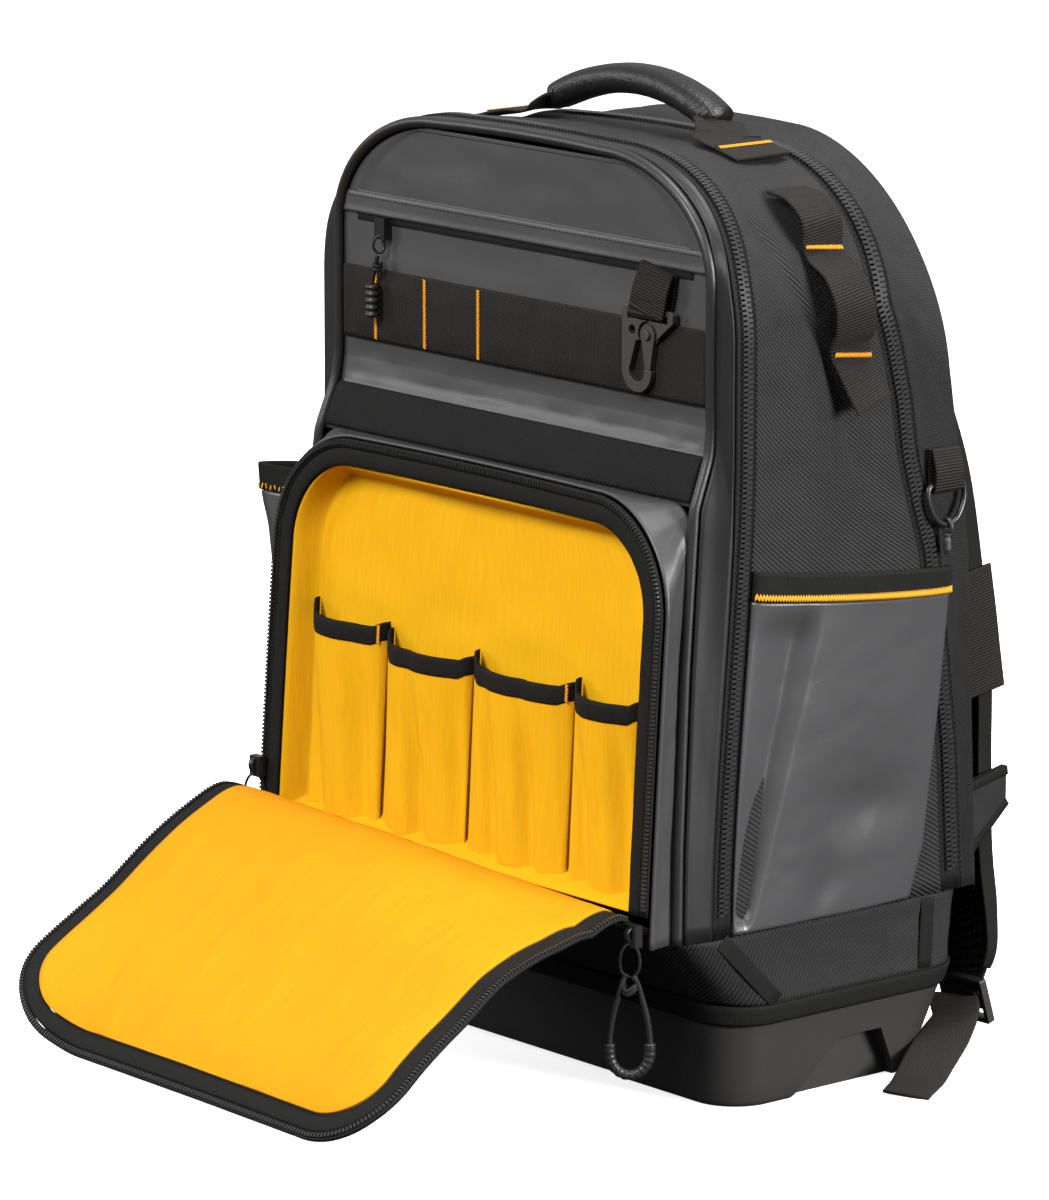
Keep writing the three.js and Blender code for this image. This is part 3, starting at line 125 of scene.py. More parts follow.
def buildTwill(tree, start, end):
    diagonal = bandWave(tree, start.outputs["Vector"], start.outputs["Pitch"], 52)
    thread = bandWave(tree, start.outputs["Vector"], math2(tree, "MULTIPLY", start.outputs["Pitch"], 0.8),
                      -24)
    height = math2(tree, "MULTIPLY", diagonal, math2(tree, "ADD", math2(tree, "MULTIPLY", thread, 0.6), 0.4))
    noise = addNode(tree, "ShaderNodeTexNoise", Scale=60.0, Detail=3.0)
    tree.links.new(start.outputs["Vector"], noise.inputs["Vector"])
    shade = math2(tree, "ADD", math2(tree, "MULTIPLY", height, 0.75),
                  math2(tree, "MULTIPLY", noise.outputs["Fac"], 0.25))
    tree.links.new(shade, end.inputs["Shade"])
    tree.links.new(height, end.inputs["Height"])


def buildRibs(tree, start, end):
    rib = bandWave(tree, start.outputs["Vector"], start.outputs["Pitch"], 0)
    yarn = bandWave(tree, start.outputs["Vector"], math2(tree, "MULTIPLY", start.outputs["Pitch"], 0.55), 90)
    height = math2(tree, "ADD", math2(tree, "MULTIPLY", rib, 0.8), math2(tree, "MULTIPLY", yarn, 0.2))
    noise = addNode(tree, "ShaderNodeTexNoise", Scale=90.0, Detail=3.0)
    tree.links.new(start.outputs["Vector"], noise.inputs["Vector"])
    shade = math2(tree, "ADD", math2(tree, "MULTIPLY", height, 0.7),
                  math2(tree, "MULTIPLY", noise.outputs["Fac"], 0.3))
    tree.links.new(shade, end.inputs["Shade"])
    tree.links.new(height, end.inputs["Height"])


def buildPlain(tree, start, end):
    warp = bandWave(tree, start.outputs["Vector"], start.outputs["Pitch"], 0)
    weft = bandWave(tree, start.outputs["Vector"], start.outputs["Pitch"], 90)
    stretch = addNode(tree, "ShaderNodeMapping")
    stretch.inputs["Scale"].default_value = (1.0, 0.06, 1.0)
    tree.links.new(start.outputs["Vector"], stretch.inputs["Vector"])
    slub = addNode(tree, "ShaderNodeTexNoise", Scale=700.0, Detail=2.0)
    tree.links.new(stretch.outputs[0], slub.inputs["Vector"])
    height = math2(tree, "ADD", math2(tree, "MULTIPLY", warp, 0.4), math2(tree, "MULTIPLY", weft, 0.3))
    height = math2(tree, "ADD", height, math2(tree, "MULTIPLY", slub.outputs["Fac"], 0.5))
    tree.links.new(slub.outputs["Fac"], end.inputs["Shade"])
    tree.links.new(height, end.inputs["Height"])


def buildGrain(tree, start, end):
    fine = addNode(tree, "ShaderNodeTexNoise", Detail=4.0, Roughness=0.6)
    tree.links.new(start.outputs["Vector"], fine.inputs["Vector"])
    tree.links.new(start.outputs["Scale"], fine.inputs["Scale"])
    wide = addNode(tree, "ShaderNodeTexNoise", Scale=9.0, Detail=3.0)
    tree.links.new(start.outputs["Vector"], wide.inputs["Vector"])
    tree.links.new(wide.outputs["Fac"], end.inputs["Shade"])
    tree.links.new(fine.outputs["Fac"], end.inputs["Height"])


def buildMeshCloth(tree, start, end):
    cells = addNode(tree, "ShaderNodeTexVoronoi", feature="F1", Randomness=0.15)
    tree.links.new(start.outputs["Vector"], cells.inputs["Vector"])
    tree.links.new(math2(tree, "DIVIDE", 1.0, start.outputs["Pitch"]), cells.inputs["Scale"])
    hole = addNode(tree, "ShaderNodeMapRange")
    hole.inputs["From Min"].default_value = 0.22
    hole.inputs["From Max"].default_value = 0.4
    tree.links.new(cells.outputs["Distance"], hole.inputs["Value"])
    tree.links.new(hole.outputs[0], end.inputs["Shade"])
    tree.links.new(hole.outputs[0], end.inputs["Height"])


vectorIn = ("Vector", "NodeSocketVector", None)
shadeOut = [("Shade", "NodeSocketFloat"), ("Height", "NodeSocketFloat")]
effects = {
    "twill": effectGroup("twillWeave", [vectorIn, ("Pitch", "NodeSocketFloat", 0.0013)], shadeOut,
                         buildTwill),
    "ribs": effectGroup("webbingRibs", [vectorIn, ("Pitch", "NodeSocketFloat", 0.0015)], shadeOut, buildRibs),
    "plain": effectGroup("plainWeave", [vectorIn, ("Pitch", "NodeSocketFloat", 0.0007)], shadeOut,
                         buildPlain),
    "grain": effectGroup("fineGrain", [vectorIn, ("Scale", "NodeSocketFloat", 900.0)], shadeOut, buildGrain),
    "airMesh": effectGroup("meshCloth", [vectorIn, ("Pitch", "NodeSocketFloat", 0.003)], shadeOut,
                           buildMeshCloth),
}

finishKeys = ("effect", "size", "dark", "light", "rough", "bump", "space", "specular", "metal")
# size is in metres, or a noise scale for grain; bump is a depth in metres
finishRows = {
    "tarp": ("grain", 1500.0, (0.034, 0.034, 0.0345), (0.044, 0.044, 0.0445),
             0.4, 0.00008, "Object", 0.35, 0.0),
    "woven": ("twill", 0.0016, (0.001, 0.001, 0.001), (0.043, 0.0415, 0.041),
              0.7, 0.0006, "UV", 0.2, 0.0),
    "wovenBack": ("twill", 0.0015, (0.001, 0.001, 0.001), (0.019, 0.0184, 0.018),
                  0.75, 0.0003, "UV", 0.12, 0.0),
    "webbing": ("ribs", 0.0015, (0.003, 0.0027, 0.0025), (0.017, 0.0145, 0.013),
                0.65, 0.0006, "UV", 0.2, 0.0),
    "binding": ("ribs", 0.0009, (0.003, 0.0029, 0.0028), (0.013, 0.0125, 0.012),
                0.75, 0.00015, "UV", 0.1, 0.0),
    "padMesh": ("twill", 0.0019, (0.0008, 0.0008, 0.0008), (0.008, 0.008, 0.008),
                0.7, 0.0004, "UV", 0.12, 0.0),
    "airMesh": ("airMesh", 0.0042, (0.009, 0.0087, 0.0086), (0.001, 0.001, 0.001),
                0.8, 0.0008, "UV", 0.12, 0.0),
    "zipTape": ("ribs", 0.0011, (0.003, 0.003, 0.003), (0.006, 0.006, 0.006),
                0.6, 0.0001, "UV", 0.15, 0.0),
    "teeth": ("grain", 900.0, (0.012, 0.012, 0.012), (0.022, 0.022, 0.022),
              0.28, 0.00003, "Object", 0.5, 0.0),
    "yellow": ("plain", 0.0009, (0.47, 0.172, 0.0017), (0.55, 0.232, 0.0034),
               0.8, 0.00012, "UV", 0.1, 0.0),
    "liner": ("plain", 0.0009, (0.545, 0.262, 0.003), (0.635, 0.352, 0.0053),
              0.8, 0.00012, "UV", 0.1, 0.0),
    # darker copy of the tarp for the front strip: painted shade, as the strip is the same tarp as the panel
    "stripTarp": ("grain", 1500.0, (0.008, 0.008, 0.008), (0.013, 0.013, 0.013),
                  0.45, 0.00008, "Object", 0.25, 0.0),
    "orangeThread": ("grain", 1800.0, (0.5, 0.17, 0.005), (0.62, 0.26, 0.01),
                     0.6, 0.0001, "Object", 0.2, 0.0),
    "blackThread": ("grain", 1800.0, (0.004, 0.004, 0.004), (0.014, 0.014, 0.014),
                    0.6, 0.0001, "Object", 0.15, 0.0),
    "darkMetal": ("grain", 1200.0, (0.02, 0.02, 0.02), (0.035, 0.035, 0.035),
                  0.3, 0.00005, "Object", 0.5, 0.6),
    "greyThread": ("grain", 1500.0, (0.06, 0.06, 0.06), (0.09, 0.09, 0.09),
                   0.6, 0.00005, "Object", 0.2, 0.0),
    "cordSkin": ("grain", 1300.0, (0.004, 0.004, 0.004), (0.012, 0.012, 0.012),
                 0.6, 0.0003, "Object", 0.2, 0.0),
    "pocketTarp": ("grain", 1300.0, (0.037, 0.037, 0.0385), (0.06, 0.06, 0.062),
                   0.3, 0.0001, "Object", 0.4, 0.0),
    "yellowThread": ("grain", 1800.0, (0.55, 0.24, 0.01), (0.65, 0.32, 0.02),
                     0.6, 0.0001, "Object", 0.2, 0.0),
    "plastic": ("grain", 1400.0, (0.02, 0.019, 0.0185), (0.027, 0.0257, 0.025),
                0.45, 0.00012, "Object", 0.35, 0.0),
    "rubber": ("grain", 700.0, (0.011, 0.011, 0.011), (0.016, 0.016, 0.016),
               0.4, 0.0001, "Object", 0.35, 0.0),
    "gripSkin": ("grain", 380.0, (0.003, 0.0028, 0.0027), (0.007, 0.0067, 0.0064),
                 0.38, 0.0005, "Object", 0.35, 0.0),
    "gunMetal": ("grain", 1200.0, (0.06, 0.057, 0.055), (0.1, 0.095, 0.092),
                 0.4, 0.00006, "Object", 0.5, 0.7),
}
finishes = {name: dict(zip(finishKeys, row)) for name, row in finishRows.items()}


def makeFinish(name, facts):
    material = bpy.data.materials.new(name)
    material.use_nodes = True
    tree = material.node_tree
    tree.nodes.clear()
    out = addNode(tree, "ShaderNodeOutputMaterial", (900, 0))
    shader = addNode(tree, "ShaderNodeBsdfPrincipled", (600, 0))
    shader.inputs["Roughness"].default_value = facts["rough"]
    shader.inputs["Specular IOR Level"].default_value = facts["specular"]
    shader.inputs["Metallic"].default_value = facts["metal"]
    tree.links.new(shader.outputs[0], out.inputs[0])
    where = addNode(tree, "ShaderNodeTexCoord", (-600, 0))
    effect = addNode(tree, "ShaderNodeGroup", (-300, 0))
    effect.node_tree = effects[facts["effect"]]
    tree.links.new(where.outputs[facts["space"]], effect.inputs["Vector"])
    effect.inputs[1].default_value = facts["size"]
    ramp = addNode(tree, "ShaderNodeMix", (0, 100), data_type="RGBA")
    ramp.inputs[6].default_value = (*facts["dark"], 1)
    ramp.inputs[7].default_value = (*facts["light"], 1)
    tree.links.new(effect.outputs["Shade"], ramp.inputs[0])
    tree.links.new(ramp.outputs[2], shader.inputs["Base Color"])
    bump = addNode(tree, "ShaderNodeBump", (300, -200))
    bump.inputs["Strength"].default_value = 1.0
    bump.inputs["Distance"].default_value = facts["bump"]
    tree.links.new(effect.outputs["Height"], bump.inputs["Height"])
    tree.links.new(bump.outputs[0], shader.inputs["Normal"])
    return material


materials = {name: makeFinish(name, facts) for name, facts in finishes.items()}
print("materials made")


def makeStage():
    floorMesh = bpy.data.meshes.new("floor")
    s = stage["floor"]
    floorMesh.from_pydata([(-s, -s, 0), (s, -s, 0), (s, s, 0), (-s, s, 0)], [], [(0, 1, 2, 3)])
    floor = bpy.data.objects.new("floor", floorMesh)
    bpy.context.scene.collection.objects.link(floor)
    paper = bpy.data.materials.new("paper")
    paper.use_nodes = True
    shader = paper.node_tree.nodes["Principled BSDF"]
    shader.inputs["Base Color"].default_value = (0.9, 0.9, 0.9, 1)
    shader.inputs["Roughness"].default_value = 0.9
    shader.inputs["Emission Color"].default_value = (1, 1, 1, 1)
    shader.inputs["Emission Strength"].default_value = stage["glow"]
    floorMesh.materials.append(paper)
    floor.visible_diffuse = False
    floor.visible_glossy = False
    world = bpy.data.worlds.new("world")
    world.use_nodes = True
    tree = world.node_tree
    where = addNode(tree, "ShaderNodeTexCoord")
    split = addNode(tree, "ShaderNodeSeparateXYZ")
    sky = addNode(tree, "ShaderNodeMapRange")
    sky.inputs["From Min"].default_value = -0.25
    sky.inputs["From Max"].default_value = 0.35
    sky.inputs["To Min"].default_value = stage["skyLow"]
    sky.inputs["To Max"].default_value = stage["skyHigh"]
    tree.links.new(where.outputs["Generated"], split.inputs[0])
    tree.links.new(split.outputs["Z"], sky.inputs["Value"])
    tree.nodes["Background"].inputs[0].default_value = (1, 1, 1, 1)
    tree.links.new(sky.outputs[0], tree.nodes["Background"].inputs[1])
    bpy.context.scene.world = world
    for lamp in lamps:
        data = bpy.data.lights.new(lamp["name"], "AREA")
        data.shape = "DISK"
        data.size = lamp["size"]
        data.energy = lamp["power"]
        light = bpy.data.objects.new(lamp["name"], data)
        place = Vector(lamp["place"])
        light.matrix_world = Matrix.Translation(place) @ (place - Vector(lamp["aim"])).to_track_quat("Z",
                "Y").to_matrix().to_4x4()
        bpy.context.scene.collection.objects.link(light)


makeStage()
print("stage made")


# Mesh helpers; lengths in millimetres until a mesh is made
def lerp(a, b, t):
    return a + (b - a) * t


def ease(t):
    t = np.clip(t, 0, 1)
    return t * t * (3 - 2 * t)


def unit(v):
    return v / np.maximum(np.linalg.norm(v, axis=-1, keepdims=True), 1e-9)


def softNoise(x, y, seed):  # smooth random waves from -1 to 1, one cell to a unit
    x, y = np.broadcast_arrays(np.asarray(x, float), np.asarray(y, float))
    table = np.random.RandomState(seed).rand(64, 64) * 2 - 1
    i = np.floor(x).astype(int)
    j = np.floor(y).astype(int)
    fx = ease(x - i)
    fy = ease(y - j)
    low = lerp(table[i % 64, j % 64], table[(i + 1) % 64, j % 64], fx)
    high = lerp(table[i % 64, (j + 1) % 64], table[(i + 1) % 64, (j + 1) % 64], fx)
    return lerp(low, high, fy)


def folds(x, y, seed):
    return 0.65 * softNoise(x, y, seed) + 0.35 * softNoise(2.3 * x, 2.3 * y, seed + 1)


def smoothPath(points, count, closed=False):  # even points on a smooth line through the given ones
    p = np.array(points, float)
    ends = np.vstack([p[-1], p, p[0], p[1]]) if closed else np.vstack([2 * p[0] - p[1], p, 2 * p[-1] - p[-2]])
    dense = []
    for k in range(1, len(ends) - 2):
        q = ends[k - 1:k + 3]
        t = np.concatenate([[0], np.cumsum(np.sqrt(np.maximum(np.linalg.norm(np.diff(q, axis=0), axis=1),
                1e-6)))])
        s = np.linspace(t[1], t[2], 24, endpoint=False)[:, None]
        a = [(t[i + 1] - s) / (t[i + 1] - t[i]) * q[i] + (s - t[i]) / (t[i + 1] - t[i]) * q[i + 1]
             for i in range(3)]
        b = [(t[i + 2] - s) / (t[i + 2] - t[i]) * a[i] + (s - t[i]) / (t[i + 2] - t[i]) * a[i + 1]
             for i in range(2)]
        dense.append((t[2] - s) / (t[2] - t[1]) * b[0] + (s - t[1]) / (t[2] - t[1]) * b[1])
    dense.append(ends[-2][None])
    return evenPath(np.vstack(dense), count)


def lengthsOf(p):
    return np.concatenate([[0], np.cumsum(np.linalg.norm(np.diff(p, axis=0), axis=1))])


def evenPath(p, count):
    s = lengthsOf(p)
    at = np.linspace(0, s[-1], count)
    return np.stack([np.interp(at, s, p[:, k]) for k in range(3)], axis=1)


# Mesh from points in millimetres; uvs has one pair in metres for each corner of each face
def makeMesh(name, points, faces, uvs, finish, smooth=True):
    mesh = bpy.data.meshes.new(name)
    mesh.from_pydata((np.asarray(points) * mm).tolist(), [], [list(map(int, f)) for f in faces])
    if uvs is not None:
        layer = mesh.uv_layers.new(name="cloth")
        layer.data.foreach_set("uv", (np.asarray(uvs, float) * mm).ravel())
    for one in finish if isinstance(finish, (list, tuple)) else [finish]:
        mesh.materials.append(materials[one])
    mesh.polygons.foreach_set("use_smooth", [smooth] * len(mesh.polygons))
    mesh.update()
    piece = bpy.data.objects.new(name, mesh)
    bpy.context.scene.collection.objects.link(piece)
    return piece


def settle(piece, nodes=(), body="pack"):
    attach(piece, body)
    if nodes:
        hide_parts(*nodes)
    return piece


def signedVolume(points, faces):
    total = 0.0
    for f in faces:
        a = points[f[0]]
        for k in range(1, len(f) - 1):
            total += np.dot(a, np.cross(points[f[k]], points[f[k + 1]]))
    return total


# Closed wall between two grids of points
def gridShell(name, outer, inner, finish, looped=False, smooth=True):
    n, m = outer.shape[:2]
    points = np.vstack([outer.reshape(-1, 3), inner.reshape(-1, 3)])
    middle = outer[:, m // 2]
    alongU = lengthsOf(np.vstack([middle, middle[:1]]) if looped else middle)
    alongV = lengthsOf(outer[n // 2])
    columns = n if looped else n - 1
    i, j = [a.ravel() for a in np.meshgrid(np.arange(columns), np.arange(m - 1), indexing="ij")]
    k = (i + 1) % n
    far = n * m
    quads = [np.stack([i * m + j, k * m + j, k * m + j + 1, i * m + j + 1], 1)]
    uv = [np.stack([alongU[i], alongV[j], alongU[i + 1], alongV[j], alongU[i + 1], alongV[j + 1], alongU[i],
                    alongV[j + 1]], 1)]
    quads.append(far + quads[0][:, ::-1])
    uv.append(uv[0].reshape(-1, 4, 2)[:, ::-1].reshape(-1, 8))
    i = np.arange(columns)
    k = (i + 1) % n
    for row, flip in ((0, False), (m - 1, True)):
        q = np.stack([i * m + row, far + i * m + row, far + k * m + row, k * m + row], 1)
        v = np.full(columns, alongV[row])
        t = np.stack([alongU[i], v, alongU[i], v + 1, alongU[i + 1], v + 1, alongU[i + 1], v], 1)
        quads.append(q[:, ::-1] if flip else q)
        uv.append(t.reshape(-1, 4, 2)[:, ::-1].reshape(-1, 8) if flip else t)
    if not looped:
        j = np.arange(m - 1)
        for column, flip in ((0, True), (n - 1, False)):
            q = np.stack([column * m + j, far + column * m + j, far + column * m + j + 1, column * m + j + 1],
                         1)
            u = np.full(m - 1, alongU[column])
            t = np.stack([u, alongV[j], u + 1, alongV[j], u + 1, alongV[j + 1], u, alongV[j + 1]], 1)
            quads.append(q[:, ::-1] if flip else q)
            uv.append(t.reshape(-1, 4, 2)[:, ::-1].reshape(-1, 8) if flip else t)
    faces = np.vstack(quads)
    corners = np.vstack(uv).reshape(-1, 4, 2)
    a, b, c, d = (points[faces[:, q]] for q in range(4))
    volume = np.einsum("ij,ij->i", a, np.cross(b, c)).sum() + np.einsum("ij,ij->i", a, np.cross(c, d)).sum()
    if volume < 0:
        faces = faces[:, ::-1]
        corners = corners[:, ::-1]
    return makeMesh(name, points, faces, corners.reshape(-1, 2), finish, smooth)


def gridNormals(p, looped=False):
    du = np.roll(p, -1, 0) - np.roll(p, 1, 0) if looped else np.gradient(p, axis=0)
    return unit(np.cross(du, np.gradient(p, axis=1)))


def grid(across, up):
    return np.meshgrid(np.linspace(0, 1, across + 1), np.linspace(0, 1, up + 1), indexing="ij")


def pack3(x, y, z):
    return np.stack(np.broadcast_arrays(x, y, z), axis=-1).astype(float)


# Wall under a surface; wave lifts it along its normal, in millimetres
def clothSheet(name, place, across, up, thick, finish, wave=None, looped=False):
    u, v = grid(across, up)
    if looped:
        u, v = u[:-1], v[:-1]
    p = place(u, v)
    normal = gridNormals(p, looped)
    if wave is not None:
        p = p + normal * wave(u, v)[..., None]
        normal = gridNormals(p, looped)
    return gridShell(name, p, p - normal * thick, finish, looped)


roundSection = np.array([(math.cos(a), math.sin(a)) for a in np.linspace(0, 2 * math.pi, 13)[:-1]])
tapeSection = np.array([(1, 0.25), (0.97, 0.8), (0.9, 1), (0.3, 1), (-0.3, 1), (-0.9, 1), (-0.97, 0.8),
                        (-1, 0.25), (-1, -0.25), (-0.97, -0.8), (-0.9, -1), (-0.3, -1), (0.3, -1), (0.9, -1),
                        (0.97, -0.8), (1, -0.25)])
padSection = np.array([(1, 0.0), (0.985, 0.45), (0.93, 0.78), (0.82, 0.95), (0.5, 1.0), (0, 1.03),
                       (-0.5, 1.0), (-0.82, 0.95), (-0.93, 0.78), (-0.985, 0.45), (-1, 0.0), (-0.985, -0.45),
                       (-0.93, -0.78), (-0.82, -0.95), (-0.5, -1.0), (0, -1.03), (0.5, -1.0), (0.82, -0.95),
                       (0.93, -0.78), (0.985, -0.45)])


# Solid along a path: the section's first number runs along wide, its second along the normal
def sweep(name, path, wide, section, width, thick, finish, closed=False):
    path = np.asarray(path, float)
    n = len(path)
    tangent = unit(np.roll(path, -1, 0) - np.roll(path, 1, 0)) if closed else unit(np.gradient(path, axis=0))
    wide = np.broadcast_to(np.asarray(wide, float), path.shape)
    wide = unit(wide - tangent * np.sum(wide * tangent, axis=1, keepdims=True))
    normal = np.cross(tangent, wide)
    width = np.broadcast_to(np.asarray(width, float), (n,))
    thick = np.broadcast_to(np.asarray(thick, float), (n,))
    k = len(section)
    rings = (path[:, None] + wide[:, None] * (section[None, :, :1] * width[:, None, None] / 2)
             + normal[:, None] * (section[None, :, 1:] * thick[:, None, None] / 2))
    s = lengthsOf(np.vstack([path, path[:1]]) if closed else path)
    around = lengthsOf(np.vstack([rings[n // 2], rings[n // 2][:1]]))
    faces = []
    uvs = []
    for i in range(n if closed else n - 1):
        j = (i + 1) % n
        for q in range(k):
            r = (q + 1) % k
            faces.append((i * k + q, i * k + r, j * k + r, j * k + q))
            uvs += [(s[i], around[q]), (s[i], around[q + 1]), (s[i + 1], around[q + 1]),
                    (s[i + 1], around[q])]
    if not closed:
        faces.append(tuple(range(k))[::-1])
        uvs += [(0, around[q]) for q in range(k)][::-1]
        faces.append(tuple(range((n - 1) * k, n * k)))
        uvs += [(s[-1], around[q]) for q in range(k)]
    points = rings.reshape(-1, 3)
    if signedVolume(points, faces) < 0:
        flipped = []
        start = 0
        for f in faces:
            flipped += uvs[start:start + len(f)][::-1]
            start += len(f)
        uvs = flipped
        faces = [f[::-1] for f in faces]
    return makeMesh(name, points, faces, uvs, finish)


# Repeats: teeth and stitches are placed by Geometry Nodes
def repeatTree(name, shape):
    tree = bpy.data.node_groups.new(name, "GeometryNodeTree")
    tree.interface.new_socket("Geometry", in_out="INPUT", socket_type="NodeSocketGeometry")
    tree.interface.new_socket("Size", in_out="INPUT", socket_type="NodeSocketVector")
    tree.interface.new_socket("Finish", in_out="INPUT", socket_type="NodeSocketMaterial")
    tree.interface.new_socket("Geometry", in_out="OUTPUT", socket_type="NodeSocketGeometry")
    start = addNode(tree, "NodeGroupInput", (-800, 0))
    end = addNode(tree, "NodeGroupOutput", (800, 0))
    if shape == "tooth":
        one = addNode(tree, "GeometryNodeMeshCube", (-500, -200))
        one.inputs["Size"].default_value = (1, 1, 1)
    else:
        one = addNode(tree, "GeometryNodeMeshUVSphere", (-500, -200))
        one.inputs["Segments"].default_value = 6
        one.inputs["Rings"].default_value = 4
        one.inputs["Radius"].default_value = 0.5
    scale = addNode(tree, "GeometryNodeTransform", (-300, -200))
    tree.links.new(one.outputs["Mesh"], scale.inputs["Geometry"])
    tree.links.new(start.outputs["Size"], scale.inputs["Scale"])
    turn = addNode(tree, "GeometryNodeInputNamedAttribute", (-500, -400), data_type="FLOAT_VECTOR")
    turn.inputs["Name"].default_value = "turn"
    euler = addNode(tree, "FunctionNodeEulerToRotation", (-300, -400))
    tree.links.new(turn.outputs["Attribute"], euler.inputs[0])
    spread = addNode(tree, "GeometryNodeInstanceOnPoints", (0, 0))
    tree.links.new(start.outputs["Geometry"], spread.inputs["Points"])
    tree.links.new(scale.outputs[0], spread.inputs["Instance"])
    tree.links.new(euler.outputs[0], spread.inputs["Rotation"])
    real = addNode(tree, "GeometryNodeRealizeInstances", (200, 0))
    tree.links.new(spread.outputs[0], real.inputs[0])
    paint = addNode(tree, "GeometryNodeSetMaterial", (400, 0))
    tree.links.new(real.outputs[0], paint.inputs["Geometry"])
    tree.links.new(start.outputs["Finish"], paint.inputs["Material"])
    tree.links.new(paint.outputs[0], end.inputs[0])
    return tree


repeatTrees = {"tooth": repeatTree("toothRow", "tooth"), "stitch": repeatTree("stitchRow", "stitch")}


# One small shape at each place: its x runs along, its z along the normal
def repeat(name, kind, places, alongs, normals, size, finish):
    places = np.asarray(places, float)
    x = unit(np.asarray(alongs, float))
    z = np.asarray(normals, float)
    z = unit(z - x * np.sum(x * z, axis=1, keepdims=True))
    y = np.cross(z, x)
    turns = [Matrix(np.stack(axes, 1).tolist()).to_euler() for axes in zip(x, y, z)]
    seeds = bpy.data.meshes.new(name + "Seeds")
    seeds.from_pydata((places * mm).tolist(), [], [])
    turn = seeds.attributes.new("turn", "FLOAT_VECTOR", "POINT")
    turn.data.foreach_set("vector", [v for t in turns for v in t])
    carrier = bpy.data.objects.new(name, seeds)
    bpy.context.scene.collection.objects.link(carrier)
    modifier = carrier.modifiers.new("repeat", "NODES")
    modifier.node_group = repeatTrees[kind]
    sockets = {s.name: s.identifier for s in repeatTrees[kind].interface.items_tree if s.in_out == "INPUT"}
    modifier[sockets["Size"]] = [v * mm for v in size]
    modifier[sockets["Finish"]] = materials[finish]
    bpy.context.view_layer.update()
    whole = bpy.data.meshes.new_from_object(carrier.evaluated_get(bpy.context.evaluated_depsgraph_get()))
    whole.name = name
    carrier.modifiers.clear()
    carrier.data = whole
    bpy.data.meshes.remove(seeds)
    whole.polygons.foreach_set("use_smooth", [kind == "stitch"] * len(whole.polygons))
    return carrier


def zipRow(name, path, normals, facts, sides):  # teeth along a path; sides are the rows, 1 and -1, across it
    s = lengthsOf(path)
    places = []
    alongs = []
    faces = []
    tangent = unit(np.gradient(path, axis=0))
    for side in sides:
        at = np.arange(facts["pitch"] * (0.5 if side > 0 else 1.0), s[-1], facts["pitch"])
        p = np.stack([np.interp(at, s, path[:, k]) for k in range(3)], 1)
        t = unit(np.stack([np.interp(at, s, tangent[:, k]) for k in range(3)], 1))
        n = unit(np.stack([np.interp(at, s, normals[:, k]) for k in range(3)], 1))
        across = np.cross(n, t)
        places.append(p + across * side * facts["offset"] + n * facts["lift"])
        alongs.append(t)
        faces.append(n)
    size = (facts["tooth"], facts["wide"], facts["high"])
    return repeat(name, "tooth", np.vstack(places), np.vstack(alongs), np.vstack(faces), size, "teeth")


def stitchLine(name, path, normals, length, pitch, thick, finish="blackThread", lift=0.1):
    s = lengthsOf(path)
    at = np.arange(pitch / 2, s[-1], pitch)
    tangent = unit(np.gradient(path, axis=0))
    normals = np.broadcast_to(np.asarray(normals, float), path.shape)
    p, t, n = (np.stack([np.interp(at, s, a[:, k]) for k in range(3)], 1) for a in (path, tangent, normals))
    return repeat(name, "stitch", p + unit(n) * lift, t, n, (length, thick, thick), finish)


# Dense zigzag of thread between two points
def bartack(name, start, end, normal, width, finish="orangeThread"):
    start, end, normal = (np.asarray(v, float) for v in (start, end, normal))
    run = end - start
    count = int(np.linalg.norm(run) / 0.62)
    t = (np.arange(count) + 0.5) / count
    forward = unit(run[None])[0]
    across = np.cross(normal, forward)
    lean = np.where(np.arange(count) % 2 == 0, 1.0, -1.0)
    places = start + run * t[:, None] + normal * 0.35
    alongs = across + forward * 0.3 * lean[:, None]
    return repeat(name, "stitch", places, alongs, np.broadcast_to(normal, places.shape), (width, 0.95, 0.9),
                  finish)


def cadCopy(name, node, finish, bevel, body="pack"):  # the CAD node's own shape with rounded edges
    source = bpy.data.objects[node]
    mesh = source.data.copy()
    mesh.transform(source.matrix_world)
    mesh.materials.clear()
    mesh.materials.append(materials[finish])
    piece = bpy.data.objects.new(name, mesh)
    bpy.context.scene.collection.objects.link(piece)
    weld = piece.modifiers.new("weld", "WELD")
    weld.merge_threshold = 0.00001
    rounding = piece.modifiers.new("round", "BEVEL")
    rounding.width = bevel * mm
    rounding.segments = 2
    rounding.limit_method = "ANGLE"
    rounding.angle_limit = math.radians(28)
    bpy.context.view_layer.update()
    whole = bpy.data.meshes.new_from_object(piece.evaluated_get(bpy.context.evaluated_depsgraph_get()))
    piece.modifiers.clear()
    piece.data = whole
    bpy.data.meshes.remove(mesh)
    whole.name = name
    whole.polygons.foreach_set("use_smooth", [False] * len(whole.polygons))
    return settle(piece, [node], body)


# Outlines of the body
halfWidth = 162  # millimetres, as are all sizes below
bodyHeight = 478
halfDepth = 80
baseHeight = 54
bandTop = 93
upperHeight = bodyHeight - bandTop
frontLean = np.array([(0, 1), (0.12, 0.93), (0.35, 0.7), (0.56, 0.41), (0.625, 0.06), (0.66, 0), (1, 0)])
mainBack = np.array([(0, 0.84), (0.2, 0.78), (0.465, 0.61), (0.535, 0.5), (0.6, 0.41), (0.67, 0.36),
                     (0.74, 0.275), (0.8, 0.18), (1, 0.175)])
rearBack = np.array([(0, 1.4), (0.46, 1.27), (0.7, 1.03), (0.85, 1), (1, 1)])
pipingForm = {"half": 146, "top": 476, "wide": 80, "high": 60, "power": 2, "flare": 10, "crown": 1.5}
frontZipForm = {"half": 162, "top": 478, "wide": 100, "high": 90, "power": 2.2, "flare": 0, "crown": 1}
